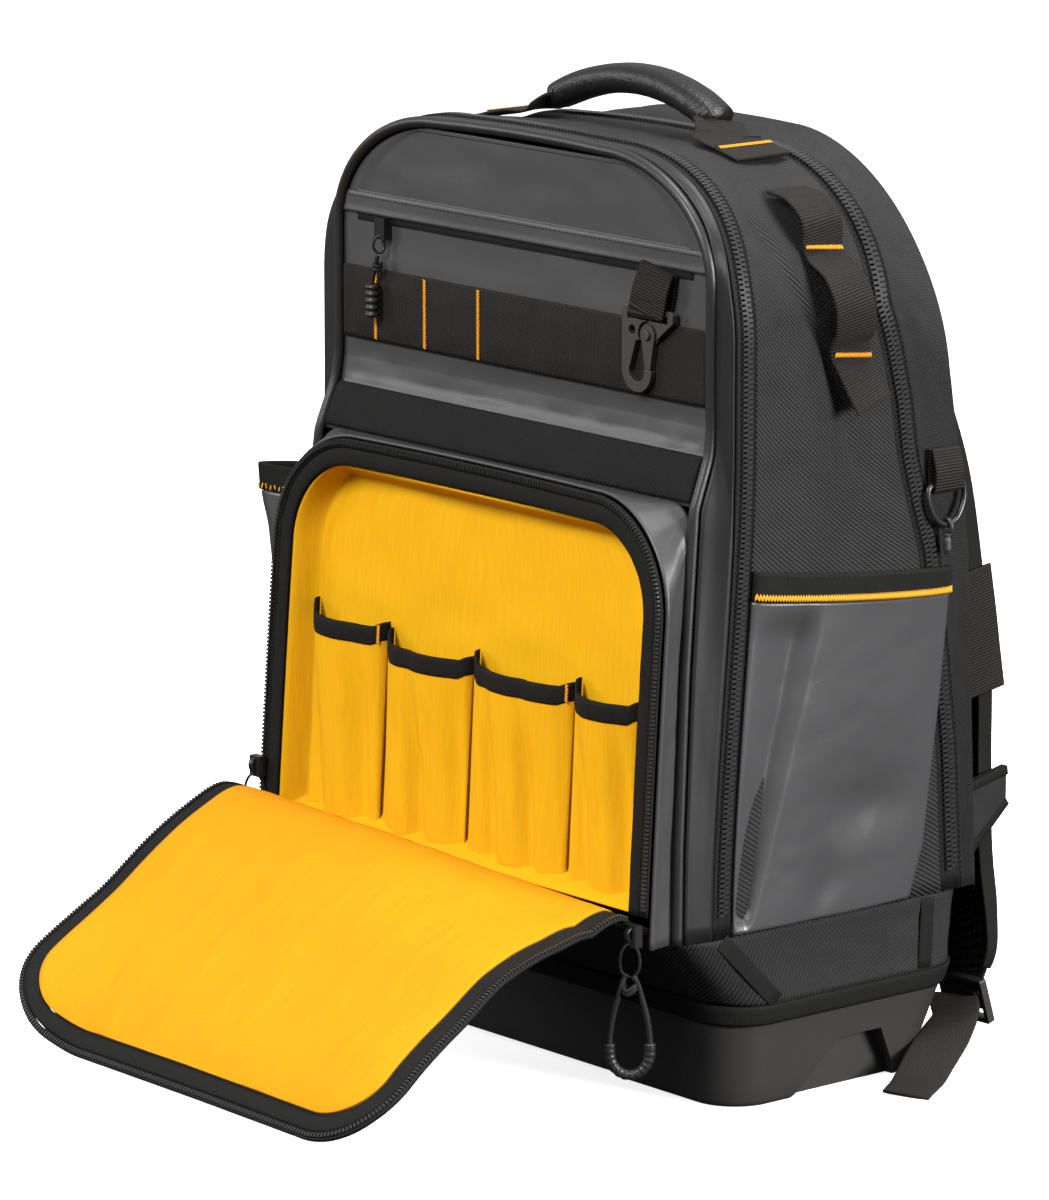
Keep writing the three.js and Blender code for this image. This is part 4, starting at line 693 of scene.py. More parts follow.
mainZipForm = {"half": 162, "top": 472, "wide": 92, "high": 86, "power": 2.1, "flare": 0, "crown": 2}
backForm = {"half": 162, "top": 475, "wide": 115, "high": 118, "power": 1.85, "flare": 0, "crown": 1}
rimForm = {"half": 152.5, "top": 312, "wide": 57, "high": 57, "power": 2, "flare": 2.5, "crown": 1}
flareTop = bandTop + upperHeight * 0.69


def table(rows, at):
    return np.interp(at, rows[:, 0], rows[:, 1])


def heightShare(z):
    return np.clip((z - bandTop) / upperHeight, 0, 1)


def edgeY(z):
    return -(83 + 29 * table(frontLean, heightShare(z)))


def frontZipY(z):
    return -81 - 14 * ease(1 - heightShare(z) / 0.64) + 9 * ease((heightShare(z) - 0.82) / 0.18)


def mainZipY(z):
    return halfDepth * table(mainBack, heightShare(z))


def backY(z):
    return 60 * table(rearBack, heightShare(z))


def rimY(z):
    return -116 - 17 * np.clip((312 - z) / (312 - bandTop), 0, 1) ** 0.8


def flareAt(form, z):
    return form["flare"] * np.clip((flareTop - z) / (flareTop - bandTop), 0, 1)


def archLine(form, u, floor):
    side = np.where(u < 0.5, -1.0, 1.0)
    t = 1 - np.abs(2 * u - 1)
    angle = np.clip((t - 0.4) / 0.4, 0, 1) * math.pi / 2
    share = 2 / form["power"]
    base = form["half"] - form["wide"]
    z = np.where(t <= 0.4, lerp(floor, form["top"] - form["high"], t / 0.4),
                 form["top"] - form["high"] + form["high"] * np.sin(angle) ** share)
    x = np.where(t <= 0.4, form["half"], base + form["wide"]
                 * np.maximum(np.cos(angle), 0) ** share) + flareAt(form, z)
    s = np.clip((t - 0.8) / 0.2, 0, 1)
    x = np.where(t > 0.8, base * (1 - s), x)
    z = np.where(t > 0.8, form["top"] + form["crown"] * (1 - (1 - s) ** 2), z)
    return side * x, z


def archPoint(form, u, inset=0, floor=bandTop + gap):
    u = np.asarray(u, float)
    x, z = archLine(form, u, floor)
    step = 0.006
    x0, z0 = archLine(form, np.clip(u - step, 0, 1), floor)
    x1, z1 = archLine(form, np.clip(u + step, 0, 1), floor)
    length = np.maximum(np.hypot(x1 - x0, z1 - z0), 1e-6)
    return x + (z1 - z0) / length * inset, z - (x1 - x0) / length * inset


def halfAt(form, z):
    over = np.clip((z - (form["top"] - form["high"])) / form["high"], 0, 1)
    curve = (1 - over ** form["power"]) ** (1 / form["power"])
    return form["half"] - form["wide"] + form["wide"] * curve + flareAt(form, z)


def blendForm(a, b, t):
    return {key: lerp(a[key], b[key], t) for key in a}


def edgeFade(t, share):
    return ease(np.minimum(t, 1 - t) / share)


# Moulded base, its tape and the woven band
baseCorner = 26
baseTopForm = {"half": 162, "front": 80, "rear": 80, "wide": 26, "deep": 26}
baseLowForm = {"half": 156, "front": 78, "rear": 58, "wide": 26, "deep": 26}
bandTopForm = {"half": 162, "front": 114, "rear": 84, "wide": 14, "deep": 20}
cornerSpan = 0.62  # share of a quarter of the outline that is its corner


def planPoint(form, inset, u):  # outline seen from above, once round from the front of the right side
    q = (u * 4) % 4
    k = np.floor(q).astype(int) % 4
    f = q - np.floor(q)
    half, front, rear = form["half"] - inset, form["front"] - inset, form["rear"] - inset
    wide, deep = np.maximum(1, form["wide"] - inset), np.maximum(1, form["deep"] - inset)
    sx = np.array([1, 1, -1, -1])
    back = np.array([-1, 1, 1, -1])
    turn = np.radians(np.array([-90, 0, 90, 180]))

    def place(n, arc):
        rx = np.where(back[n] < 0, wide, baseCorner - inset)
        ry = np.where(back[n] < 0, deep, baseCorner - inset)
        angle = turn[n] + arc * math.pi / 2
        edge = np.where(back[n] < 0, -front, rear)
        return sx[n] * half - sx[n] * rx + rx * np.cos(angle), edge - back[n] * ry + ry * np.sin(angle)

    ax, ay = place(k, np.clip(f / cornerSpan, 0, 1))
    bx, by = place((k + 1) % 4, np.zeros_like(f))
    t = np.clip((f - cornerSpan) / (1 - cornerSpan), 0, 1)
    return lerp(ax, bx, t), lerp(ay, by, t)


def baseFormAt(z):
    return blendForm(baseLowForm, baseTopForm, np.clip(z / baseHeight, 0, 1))


def ringLoft(name, inset, levels, finish, roundFoot=0.0):
    u = np.linspace(0, 1, 120, endpoint=False)
    rings = []
    for z in levels:
        pull = roundFoot * (1 - math.sqrt(max(0.0, 1 - max(0.0, 1 - z / max(roundFoot, 0.01)) ** 2)))
        x, y = planPoint(baseFormAt(z), inset + pull, u)
        rings.append(pack3(x, y, z))
    points = np.vstack(rings)
    n = len(u)
    faces = []
    for r in range(len(levels) - 1):
        faces += [(r * n + i, r * n + (i + 1) % n, (r + 1) * n + (i + 1) % n, (r + 1) * n + i)
                  for i in range(n)]
    faces.append(tuple(range(n))[::-1])
    faces.append(tuple(range((len(levels) - 1) * n, len(levels) * n)))
    return makeMesh(name, points, faces, None, finish)


def prism(name, outline, x0, x1):  # block whose outline, in y and z, runs from x0 to x1
    n = len(outline)
    points = [(x, y, z) for x in (x0, x1) for y, z in outline]
    faces = [(i, (i + 1) % n, n + (i + 1) % n, n + i) for i in range(n)]
    faces += [tuple(range(n))[::-1], tuple(range(n, 2 * n))]
    if signedVolume(np.array(points, float), faces) < 0:
        faces = [f[::-1] for f in faces]
    return makeMesh(name, points, faces, None, "plastic")


def carve(target, cutter, operation="DIFFERENCE"):
    cut = target.modifiers.new("cut", "BOOLEAN")
    cut.operation = operation
    cut.object = cutter
    cut.solver = "EXACT"
    bpy.context.view_layer.update()
    whole = bpy.data.meshes.new_from_object(target.evaluated_get(bpy.context.evaluated_depsgraph_get()))
    target.modifiers.clear()
    old = target.data
    target.data = whole
    bpy.data.meshes.remove(old)
    mesh = cutter.data
    bpy.data.objects.remove(cutter)
    bpy.data.meshes.remove(mesh)


def smoothByAngle(piece, degrees):
    mesh = piece.data
    mesh.polygons.foreach_set("use_smooth", [True] * len(mesh.polygons))
    mesh.set_sharp_from_angle(angle=math.radians(degrees))


def makeBase():
    base = ringLoft("base", 0, [0, 0.5, 1.2, 2.2, 3.5, 12, 27, 40, 54], "plastic", 3.5)
    hollow = ringLoft("hollow", 3, [4, 12, 27, 40, 55], "plastic")
    bumps = [prism("bump", [(-38 - 3, -1), (-6 - 1.5, 31), (22 + 1.5, 31), (36 + 3, -1)], s * 145, s * 170)
             for s in (1, -1)]
    bumps += [prism("bump", [(-88, -2), (-63, -2), (-63, 6), (-88, 6)], -73, 73)]
    bumps += [prism("bump", [(41, -2), (83, -2), (83, 6), (41, 6)], -73, 73)]
    for bump in bumps:
        carve(hollow, bump)
    cuts = [prism("cut", [(-38, -1), (-6, 28), (22, 28), (36, -1)], s * 148, s * 170) for s in (1, -1)]
    cuts += [prism("cut", [(-85, -1), (-66, -1), (-66, 3), (-85, 3)], -70, 70)]
    cuts += [prism("cut", [(44, -1), (80, -1), (80, 3), (44, 3)], -70, 70)]
    for cut in cuts:
        carve(base, cut)
    carve(base, hollow)
    smoothByAngle(base, 32)
    settle(base, ["base"])


makeBase()


def bandPlace(lowForm, highForm, z0, z1, offset):
    def place(u, v):
        x, y = planPoint(blendForm(lowForm, highForm, v), -offset, u)
        return pack3(x, y, lerp(z0, z1, v))
    return place


tape = bandPlace(baseFormAt(44), baseTopForm, 44, baseHeight, gap + 1.5)
settle(clothSheet("baseBinding", tape, 240, 8, 1.5, "binding", lambda u, v: -0.45 * (1 - edgeFade(v, 0.22)),
                  True),
       ["base_binding"])
band = bandPlace(baseTopForm, bandTopForm, baseHeight + gap, bandTop, 0)
settle(clothSheet("wovenBand", band, 300, 16, clothWall, "woven",
                  lambda u, v: -1.3 * (0.5 + 0.5 * folds(u * 26, v * 2.5, 3)) * edgeFade(v, 0.3), True),
       ["woven_band"])


def bandLine(u, z, offset):
    v = (z - baseHeight - gap) / (bandTop - baseHeight - gap)
    x, y = planPoint(blendForm(baseTopForm, bandTopForm, v), -offset, np.asarray(u, float))
    return pack3(x, y, z)


def bandAt(side, y):  # place on the outline, as its u, where the band's side passes y
    u = np.linspace(0, 1, 2000, endpoint=False)
    p = bandLine(u, 75.0, 0)
    near = np.where(p[:, 0] * side > 100, np.abs(p[:, 1] - y), 1e6)
    return u[int(np.argmin(near))]


for seam, y in enumerate((-72, 50)):
    for side in (1, -1):
        u = bandAt(side, y)
        line = np.vstack([bandLine([u], z, 0.1)[0] for z in np.linspace(55.5, 92, 9)])
        settle(sweep(f"bandSeam{seam}{side}", line, (0, 1, 0), tapeSection, 9, 0.9, "binding"))
print("base made")


# Walls and zips round the body
def zipFront(z):
    return frontZipY(z)


def zipRear(z):
    return frontZipY(z) + 12


def mainFront(z):
    return mainZipY(z) - 7


def mainRear(z):
    return mainZipY(z) + 7


def archWall(name, frontForm, rearForm, frontY, rearY, wall, up, finish, wave=None):
    u, v = grid(180, up)

    def place(inset):
        x, z = archPoint(blendForm(frontForm, rearForm, v), u, inset)
        return pack3(x, lerp(frontY(z) + gap / 2, rearY(z) - gap / 2, v), z)

    depth = 0 if wave is None else -wave(u, v)
    return gridShell(name, place(depth), place(depth + wall), finish)


def dents(size, seed, deep):  # soft hollows that keep off the edges of a wall
    return lambda u, v: -deep * (0.5 + 0.5 * folds(u * size, v * 3, seed)) * edgeFade(v, 0.25)


def sideDents(u, v):
    soft = dents(34, 11, 2.6)(u, v)
    line = np.abs(v - 0.12 - (u - 0.7) * 4.2)
    crease = 2.6 * np.exp(-(line / 0.05) ** 2) * ease((u - 0.7) / 0.02) * ease((0.86 - u) / 0.05)
    return soft - crease * edgeFade(v, 0.1)


settle(archWall("sideGusset", frontZipForm, mainZipForm, zipRear, mainFront, clothWall, 60, "woven",
                sideDents),
       ["side_gusset"])
settle(archWall("backGusset", mainZipForm, backForm, mainRear, backY, clothWall, 20, "woven",
                dents(30, 21, 2.0)),
       ["back_gusset"])

zipFacts = {
    "front_zip": {"form": frontZipForm, "front": zipFront, "rear": zipRear, "pitch": 2.5, "tooth": 1.5,
                  "wide": 3.6, "high": 1.9, "offset": 1.3, "lift": 0.35, "slit": 7},
    "main_zip": {"form": mainZipForm, "front": mainFront, "rear": mainRear, "pitch": 2.6, "tooth": 1.6,
                 "wide": 4.4, "high": 2.2, "offset": 1.6, "lift": 0.4, "slit": 8},
}
for node, facts in zipFacts.items():
    form = facts["form"]
    sink = lambda u, v: np.where(np.abs(v - 0.5) < 0.3, -0.7, 0.0) - 0.25 * (1 - edgeFade(v, 0.08))
    settle(archWall(node + "Tape", form, form, facts["front"], facts["rear"], 3 - 0.7, 20, "zipTape", sink),
           [node])
    u = np.linspace(0, 1, 500)
    x, z = archPoint(form, u)
    line = pack3(x, (facts["front"](z) + facts["rear"](z)) / 2, z)
    inX, inZ = archPoint(form, u, -1)
    out = unit(pack3(inX - x, 0 * x, inZ - z))
    cut = slice(4, -4)
    settle(zipRow(node + "Teeth", line[cut], out[cut], facts, (1, -1)))
    for edge, y in (("Front", facts["front"](z) + 1.6), ("Rear", facts["rear"](z) - 1.6)):
        seam = pack3(x, y, z) + out * 0.1
        settle(stitchLine(node + "Stitch" + edge, seam[cut], out[cut], 2.2, 3.0, 0.5))
print("walls made")


# Front panel, its trim and the piping
def makeFrontStrip():
    u, v = grid(180, 8)
    a = archPoint(pipingForm, u)
    b = archPoint(pipingForm, u, -1)
    side = np.abs(b[0] - a[0])
    ax, az = archPoint(pipingForm, u, -2.8 * side)
    bx, bz = archPoint(frontZipForm, u, clothWall)
    near = pack3(ax, edgeY(az) + 2.8 * (1 - side) + 0.5, az)
    far = pack3(bx, frontZipY(bz) - gap / 2, bz)
    p = near + (far - near) * v[..., None]
    normal = gridNormals(p)
    if np.sum(normal[90, 4] * np.array([0, -1, 1])) < 0:
        normal = -normal
    p = p - normal * (0.7 * (0.5 + 0.5 * folds(u * 40, v * 2, 41)) * edgeFade(v, 0.3))[..., None]
    # the strip's darker tarp finish is painted shade on the same tarp as the panel
    return gridShell("frontStrip", p + normal * clothWall, p, "stripTarp")


settle(makeFrontStrip(), ["front_strip"])


def panelGrid(form, inset, levels, across, up):
    u, v = grid(across, up)
    z = np.interp(v, np.linspace(0, 1, len(levels)), levels)
    half = halfAt(form, np.minimum(z + inset * v, form["top"])) - inset
    return u, v, (2 * u - 1) * half, z


panelInset = 3.2
shoulders = (0, 0.3, 0.5, 0.65, 0.78, 0.88, 0.95, 1)
frontLevels = [309, 333.6, 347.1] + [lerp(416, 472, s) for s in shoulders]
backLevels = [bandTop + gap, bandTop + gap + upperHeight * 0.46] + [lerp(357, 472.8, s) for s in shoulders]


def makeFrontPanel():
    u, v, x, z = panelGrid(pipingForm, panelInset, frontLevels, 110, 110)
    drape = 0.5 + 0.5 * folds(x / 46 + z / 90, z / 26 - x / 200, 51)
    looseShare = ease((z - 398) / 10) * ease((u - 0.01) / 0.05) * ease((0.99 - u) / 0.05) * (z < 470)
    middle = ease((z - 334) / 5) * ease((356 - z) / 5)
    deep = 1.2 * looseShare * drape + 2.0 * middle * (0.5 + 0.5 * folds(x / 30, z / 22, 53))
    edge = edgeFade(u, 0.05)
    y = edgeY(z) + deep * edge
    return gridShell("frontPanel", pack3(x, y, z), pack3(x, y + clothWall, z), "tarp")


settle(makeFrontPanel(), ["front_panel"])


def makeBackPanel():
    u, v, x, z = panelGrid(backForm, 2.2, backLevels, 60, 70)
    quilt = np.abs(np.sin(math.pi * (z - 100) / 46)) ** 0.6 * edgeFade(u, 0.12) * edgeFade(v, 0.1)
    rear = backY(z) - 1.2 + 1.2 * quilt
    return gridShell("backPanel", pack3(x, rear, z), pack3(x, backY(z) - 7, z), "padMesh")


settle(makeBackPanel(), ["back_panel"])


def pipingLine():
    u = np.linspace(0, 1, 400)
    x, z = archPoint(pipingForm, u)
    return pack3(x, edgeY(z) - 1.2, z)


settle(sweep("frontPiping", pipingLine(), (0, 1, 0.0001), roundSection, 5.8, 5.8, "rubber"),
       ["front_piping"])


# Trim lying on the panel; puff gives its rise in millimetres
def panelTrim(name, top, width, wall, endInset, finish, across, up, puff):
    u, v = grid(across, up)
    z = lerp(top - width, top, v)
    x = (2 * u - 1) * (halfAt(pipingForm, z) - panelInset - endInset)
    rear = edgeY(z) - gap
    return gridShell(name, pack3(x, rear - wall - puff(x, v), z), pack3(x, rear, z), finish)


def weltPuff(x, v):
    return 0.25 * np.sin(x / 23) * (1 - v) - 0.5 * ease((v - 0.85) / 0.15) + 0.4 * ease((0.35 - v) / 0.35)


settle(panelTrim("weltFlap", 434, 11, 1.0, 0.8, "tarp", 120, 10, weltPuff), ["welt_flap"])
webbingTacks = [-114.4, -74.4, -31.4]


def webbingPuff(x, v):
    ends = np.array([-134] + webbingTacks + [10, 60, 84, 122, 134])
    k = np.clip(np.searchsorted(ends, x) - 1, 0, len(ends) - 2)
    t = (x - ends[k]) / (ends[k + 1] - ends[k])
    arch = np.where(x < 80, 1.1, 0.0) * np.sin(math.pi * np.clip(t, 0, 1)) ** 0.7
    return arch * edgeFade(v, 0.3) - 0.5 * (1 - edgeFade(v, 0.05))


settle(panelTrim("webbingBand", 395, 38, 1.4, 1, "webbing", 200, 16, webbingPuff),
       ["webbing_band"])


def paddedPuff(x, v):
    return 1.0 * np.sin(math.pi * v) ** 0.6 - 0.6 * (1 - edgeFade(v, 0.1)) + 0.3 * softNoise(x / 18, v, 61)


settle(panelTrim("paddedBand", 333, 22, 2, 1, "wovenBack", 160, 14, paddedPuff), ["padded_band"])


def panelPoint(x, z, off):
    return np.array([x, edgeY(z) - off, z])


weltLine = np.array([panelPoint(x, 434.2, 0.5) for x in np.linspace(-130, 130, 120)])
settle(sweep("weltSeam", weltLine, (0, 0, 1), roundSection, 0.9, 0.9, "greyThread"))
# dark zip tape under the welt flap; it also stands in for the shadow line under the flap, as painted shadow
weltZipAndShadow = np.array([panelPoint(x, 421.2, 0.2) for x in np.linspace(-131, 131, 80)])
settle(sweep("weltZipAndShadow", weltZipAndShadow, (0, 0, 1), tapeSection, 4.5, 0.5, "zipTape"))
for n, x in enumerate(webbingTacks):
    settle(bartack(f"webbingTack{n}", (x, edgeY(394) - 1.9, 394), (x, edgeY(358.5) - 1.9, 358.5), (0, -1, 0),
                   3.2))
for n, z in enumerate((393.6, 358.8, 431.6, 331.6, 312.4)):
    half = halfAt(pipingForm, z) - panelInset - 2
    lift = 1.7 if z > 340 else 2.3
    line = np.array([panelPoint(x, z, lift) for x in np.linspace(-half, half, 80)])
    settle(stitchLine(f"panelStitch{n}", line, (0, -1, 0), 2.3, 3.1, 0.45))
print("front made")


# Front pocket
rimLow = 109.86


def makeBellows():
    u, v = grid(180, 14)
    edgeForm = {**pipingForm, "half": 142, "top": 308.7, "wide": 12, "high": 12, "crown": 0}
    ax, az = archPoint(edgeForm, u)
    bx, bz = archPoint(rimForm, u)
    near = pack3(ax, edgeY(az), az)
    far = pack3(bx, rimY(bz) + 2.1, bz)
    p = near + (far - near) * v[..., None]
    normal = gridNormals(p)
    if normal[90, 7, 2] < 0:
        normal = -normal
    p = p - normal * (1.4 * (0.5 + 0.5 * folds(u * 44, v * 1.4, 71)) * edgeFade(v, 0.35))[..., None]
    return gridShell("pocketBellows", p + normal * clothWall, p, "tarp")


settle(makeBellows(), ["pocket_bellows"])


def rimBand(name, start, end, thick, finish, up, crown=0.0, wave=0.0):
    u, v = grid(200, up)
    x, z = archPoint(rimForm, u, lerp(start, end, v), rimLow)
    puff = crown * np.sin(math.pi * v) ** 0.6 + wave * softNoise(u * 60, v, 5)
    return gridShell(name, pack3(x, rimY(z) - thick / 2 - puff, z), pack3(x, rimY(z) + thick / 2, z), finish)


settle(rimBand("pocketZipTape", 0.3, 4.7, 1.6, "zipTape", 4), ["pocket_zip"])
settle(rimBand("pocketBinding", 5.0, 13.8, 1.0, "binding", 10, 0.9, 0.15), ["pocket_binding"])
rimTeeth = {"pitch": 2.1, "tooth": 1.15, "wide": 2.4, "high": 2.2, "offset": 0, "lift": 0.3}
u = np.linspace(0.004, 0.996, 600)
x, z = archPoint(rimForm, u, 1.9, rimLow)
settle(zipRow("pocketTeeth", pack3(x, rimY(z) - 0.8, z), pack3(0 * x, -1, 0 * x), rimTeeth, (1,)))
x, z = archPoint(rimForm, u, 6.2, rimLow)
settle(stitchLine("pocketBindingStitch", pack3(x, rimY(z) - 0.9, z), (0, -1, 0), 2.3, 3.1, 0.45))

linerForm = {**rimForm, "half": 138.4, "top": 297.9, "wide": 44, "high": 44}


def graded(t):
    return np.interp(t, [0, 0.22, 0.78, 1], [0, 0.075, 0.925, 1])


def makeLiner():
    u, v = grid(120, 110)
    z = lerp(rimLow, linerForm["top"], graded(v))
    half = halfAt(linerForm, z)
    x = (2 * graded(u) - 1) * half
    edge = np.minimum(np.minimum(half - np.abs(x), linerForm["top"] - z), z - rimLow)
    back = ease(edge / 9)
    hang = folds(x / 30, z / 75, 81) * 1.6 * ease((z - 214) / 18) * back
    sag = 1.0 * np.sin(x / 21 + z / 40) * ease((z - 225) / 25) * back
    y = rimY(z) + 1.1 + 13.4 * back + np.maximum(hang + sag, -2.6)
    p = pack3(x, y, z)
    normal = gridNormals(p)
    if normal[60, 55, 1] > 0:
        normal = -normal
    return gridShell("pocketLiner", p, p - normal * 1.2, "liner")


settle(makeLiner(), ["pocket_liner"])

toolRows = [
    {"name": "tool_pocket_1", "from": -1, "to": -0.545, "top": 1.03, "folds": 1.5},
    {"name": "tool_pocket_2", "from": -0.52, "to": -0.01, "top": 1, "folds": 2.0},
    {"name": "tool_pocket_3", "from": 0.015, "to": 0.605, "top": 1, "folds": 2.5},
    {"name": "tool_pocket_4", "from": 0.63, "to": 1, "top": 0.995, "folds": 1.5},
]


toolSpan = 129.4  # half the row's width
toolFoot = 118.9
toolMouth = 212
linerDepth = 15


def toolSurface(row, u, v, seed):
    x = toolSpan * lerp(row["from"], row["to"], u)
    dip = 6.5 * ease(1 - u / 0.13) + 2.5 * ease(1 - (1 - u) / 0.1) - 2.0
    z = lerp(toolFoot, toolMouth * row["top"], v) + dip * ease((v - 0.45) / 0.5)
    billow = np.sin(math.pi * np.clip(u, 0, 1)) ** 0.5 * lerp(0.6, 1, v)
    fold = 0.5 + 0.5 * np.sin(row["folds"] * 2 * math.pi * u + 1.7 * seed + 1.6 * v)
    crease = 0.5 + 0.5 * folds(u * 4 + v, v * 1.6, seed + 90)
    low = ease((1.0 - v) / 0.75)
    stand = 2.2 + 12 * billow - ((1.6 + 7.0 * low) * fold ** 3 + (0.8 + 3.4 * low) * crease) * billow
    return pack3(x, rimY(z) + linerDepth - stand, z)


def makeToolPocket(row, seed):
    u, v = grid(60, 50)
    p = toolSurface(row, u, lerp(-0.07, 1, v), seed)
    settle(gridShell(row["name"] + "Cloth", p - np.array([0, 1.2, 0]), p, "liner"), [row["name"]])
    tall = 9.0 / (toolMouth * row["top"] - toolFoot)  # share of the tape at the mouth
    u, v = grid(60, 6)
    w = lerp(1 - tall, 1.006, v)
    p = toolSurface(row, u, w, seed)
    roll = 0.35 * np.sin(math.pi * v)[..., None] * np.array([0, 1, 0])
    settle(gridShell(row["name"] + "Tape", p - np.array([0, 1.75, 0]) - roll, p + np.array([0, 0.5, 0]),
                     "binding"))
    for n, w in enumerate((1 - tall * 0.12, 1 - tall * 0.88)):
        line = toolSurface(row, np.linspace(0.02, 0.98, 60), np.full(60, w), seed) - np.array([0, 1.8, 0])
        settle(stitchLine(f"{row['name']}Stitch{n}", line, (0, -1, 0), 2.2, 3.0, 0.4))


for seed, row in enumerate(toolRows):
    makeToolPocket(row, seed)
for n, (row, u) in enumerate(((toolRows[0], 0.965), (toolRows[2], 0.975))):
    a = toolSurface(row, np.array([u]), np.array([0.905]), n * 2)[0]
    b = toolSurface(row, np.array([u]), np.array([0.998]), n * 2)[0]
    settle(bartack(f"toolTack{n}", a - (0, 1.9, 0), b - (0, 1.9, 0), (0, -1, 0), 3.4))
print("pocket made")


# Door, folded down over the band
doorStart = 113.6
doorHalf = 150
doorReach = 208
doorCorner = 45
# Door's profile: share of its reach, share of the band's level, tilt and droop of the right side
doorRows = np.array([(0, 1.02, 0, 0), (0.085, 1.11, 0, 0), (0.15, 1.24, 5, 0), (0.24, 1.3, 5.5, 11),
                     (0.35, 1.237, 3, 11), (0.455, 1.14, 1, 9), (0.53, 1.048, 0, 7), (0.635, 0.887, 0, 5),
                     (0.72, 0.769, 0, 4), (0.8, 0.65, 0, 3), (0.92, 0.452, 0, 2), (1, 0.29, 0, 2)])
doorCurve = smoothPath(np.stack([0 * doorRows[:, 0], -(doorStart + doorReach * doorRows[:, 0]),
                                 bandTop * doorRows[:, 1]], 1), 500)
doorRun = lengthsOf(doorCurve)
doorLength = doorRun[-1]
doorTangent = unit(np.gradient(doorCurve, axis=0))
doorForm = {"half": doorHalf, "top": doorLength, "wide": doorCorner, "high": doorCorner, "power": 2,
            "flare": 0, "crown": 0}
doorInset = 14.1


def doorWave(x, run):
    t = np.clip(run / doorLength, 0, 1)
    sway = 1.6 * (0.5 + 0.5 * np.sin(x / 27 + run / 60)) * ease((t - 0.15) / 0.25)
    soft = 1.3 * (1 + folds(x / 52 + t * 2, run / 44, 101)) + sway
    sides = 0.35 + 0.65 * ease((doorHalf - np.abs(x)) / 40)
    return soft * ease((t - 0.1) / 0.2) * sides * (0.3 + 0.7 * ease((1 - t) / 0.25))


def doorPlace(x, run, lift):
    run = np.clip(run, 0, doorLength)
    p = np.stack([np.interp(run, doorRun, doorCurve[:, k]) for k in range(3)], -1)
    t = np.stack([np.interp(run, doorRun, doorTangent[:, k]) for k in range(3)], -1)
    out = (-p[..., 1] - doorStart) / doorReach
    tilt = -(x / doorHalf) * np.interp(out, doorRows[:, 0], doorRows[:, 2])
    droop = np.interp(out, doorRows[:, 0], doorRows[:, 3]) * ease(x / doorHalf)
    curl = 12 * ease((-x - 75) / 75) * ease((out - 0.55) / 0.45)
    lift = lift + doorWave(x, run)
    return pack3(x + 16 * out * out, p[..., 1] + t[..., 2] * lift,
                 p[..., 2] + tilt - droop + curl - t[..., 1] * lift)


def doorSheet(name, inset, lift, wall, finish, ripple=0.0):
    u, v = grid(110, 130)
    radius = doorCorner - inset
    turn = doorLength - doorCorner
    angle = np.clip((v - 0.72) / 0.28, 0, 1) * math.pi / 2
    run = np.where(v < 0.72, lerp(gap, turn, v / 0.72), turn + radius * np.sin(angle))
    half = doorHalf - inset - radius * (1 - np.cos(angle))
    x = (2 * u - 1) * half
    extra = ripple * folds(x / 11, run / 60, 111) * edgeFade(u, 0.08) * edgeFade(v, 0.08)
    return gridShell(name, doorPlace(x, run, lift + wall / 2 + np.maximum(extra, -0.1)),
                     doorPlace(x, run, lift - wall / 2), finish)


doorShell = settle(doorSheet("doorShell", doorInset, 0, 2.4, "tarp"), ["door_shell"])
doorLining = settle(doorSheet("doorLining", doorInset, 2.0, 1.0, "yellow", 0.7), ["door_lining"])


def doorBand(name, start, end, thick, finish, up, crown=0.0):
    u, v = grid(240, up)
    x, run = archPoint(doorForm, u, lerp(start, end, v), 30)
    puff = crown * np.sin(math.pi * v) ** 0.6
    return gridShell(name, doorPlace(x, run, thick / 2 - crown + puff), doorPlace(x, run, -thick / 2), finish)


doorBinding = settle(doorBand("doorBinding", 4.3, 13.8, 4.0, "binding", 10, 0.9), ["door_binding"])
doorTape = settle(doorBand("doorZipTape", 0, 4, 1.6, "zipTape", 4), ["door_zip"])
u = np.linspace(0.002, 0.998, 700)
x, run = archPoint(doorForm, u, 2.1, 30)
line = doorPlace(x, run, 0.8)
upward = unit(doorPlace(x, run, 2.0) - line)
doorTeeth = settle(zipRow("doorTeeth", line, upward, {**rimTeeth, "lift": 0.35}, (1,)))
for n, inset in enumerate((5.6, 12.6)):
    x, run = archPoint(doorForm, u, inset, 30)
    line = doorPlace(x, run, 1.5)
    settle(stitchLine(f"doorStitch{n}", line, upward, 2.3, 3.1, 0.45))
print("door made", doorLength)


# Zip sliders and pulls
facing = np.array([0.643, 0.766, 0])
towards = np.array([0.766, -0.643, 0])


def at(centre, across, out, up):
    return np.asarray(centre, float) + facing * across + towards * out + np.array([0, 0, up])


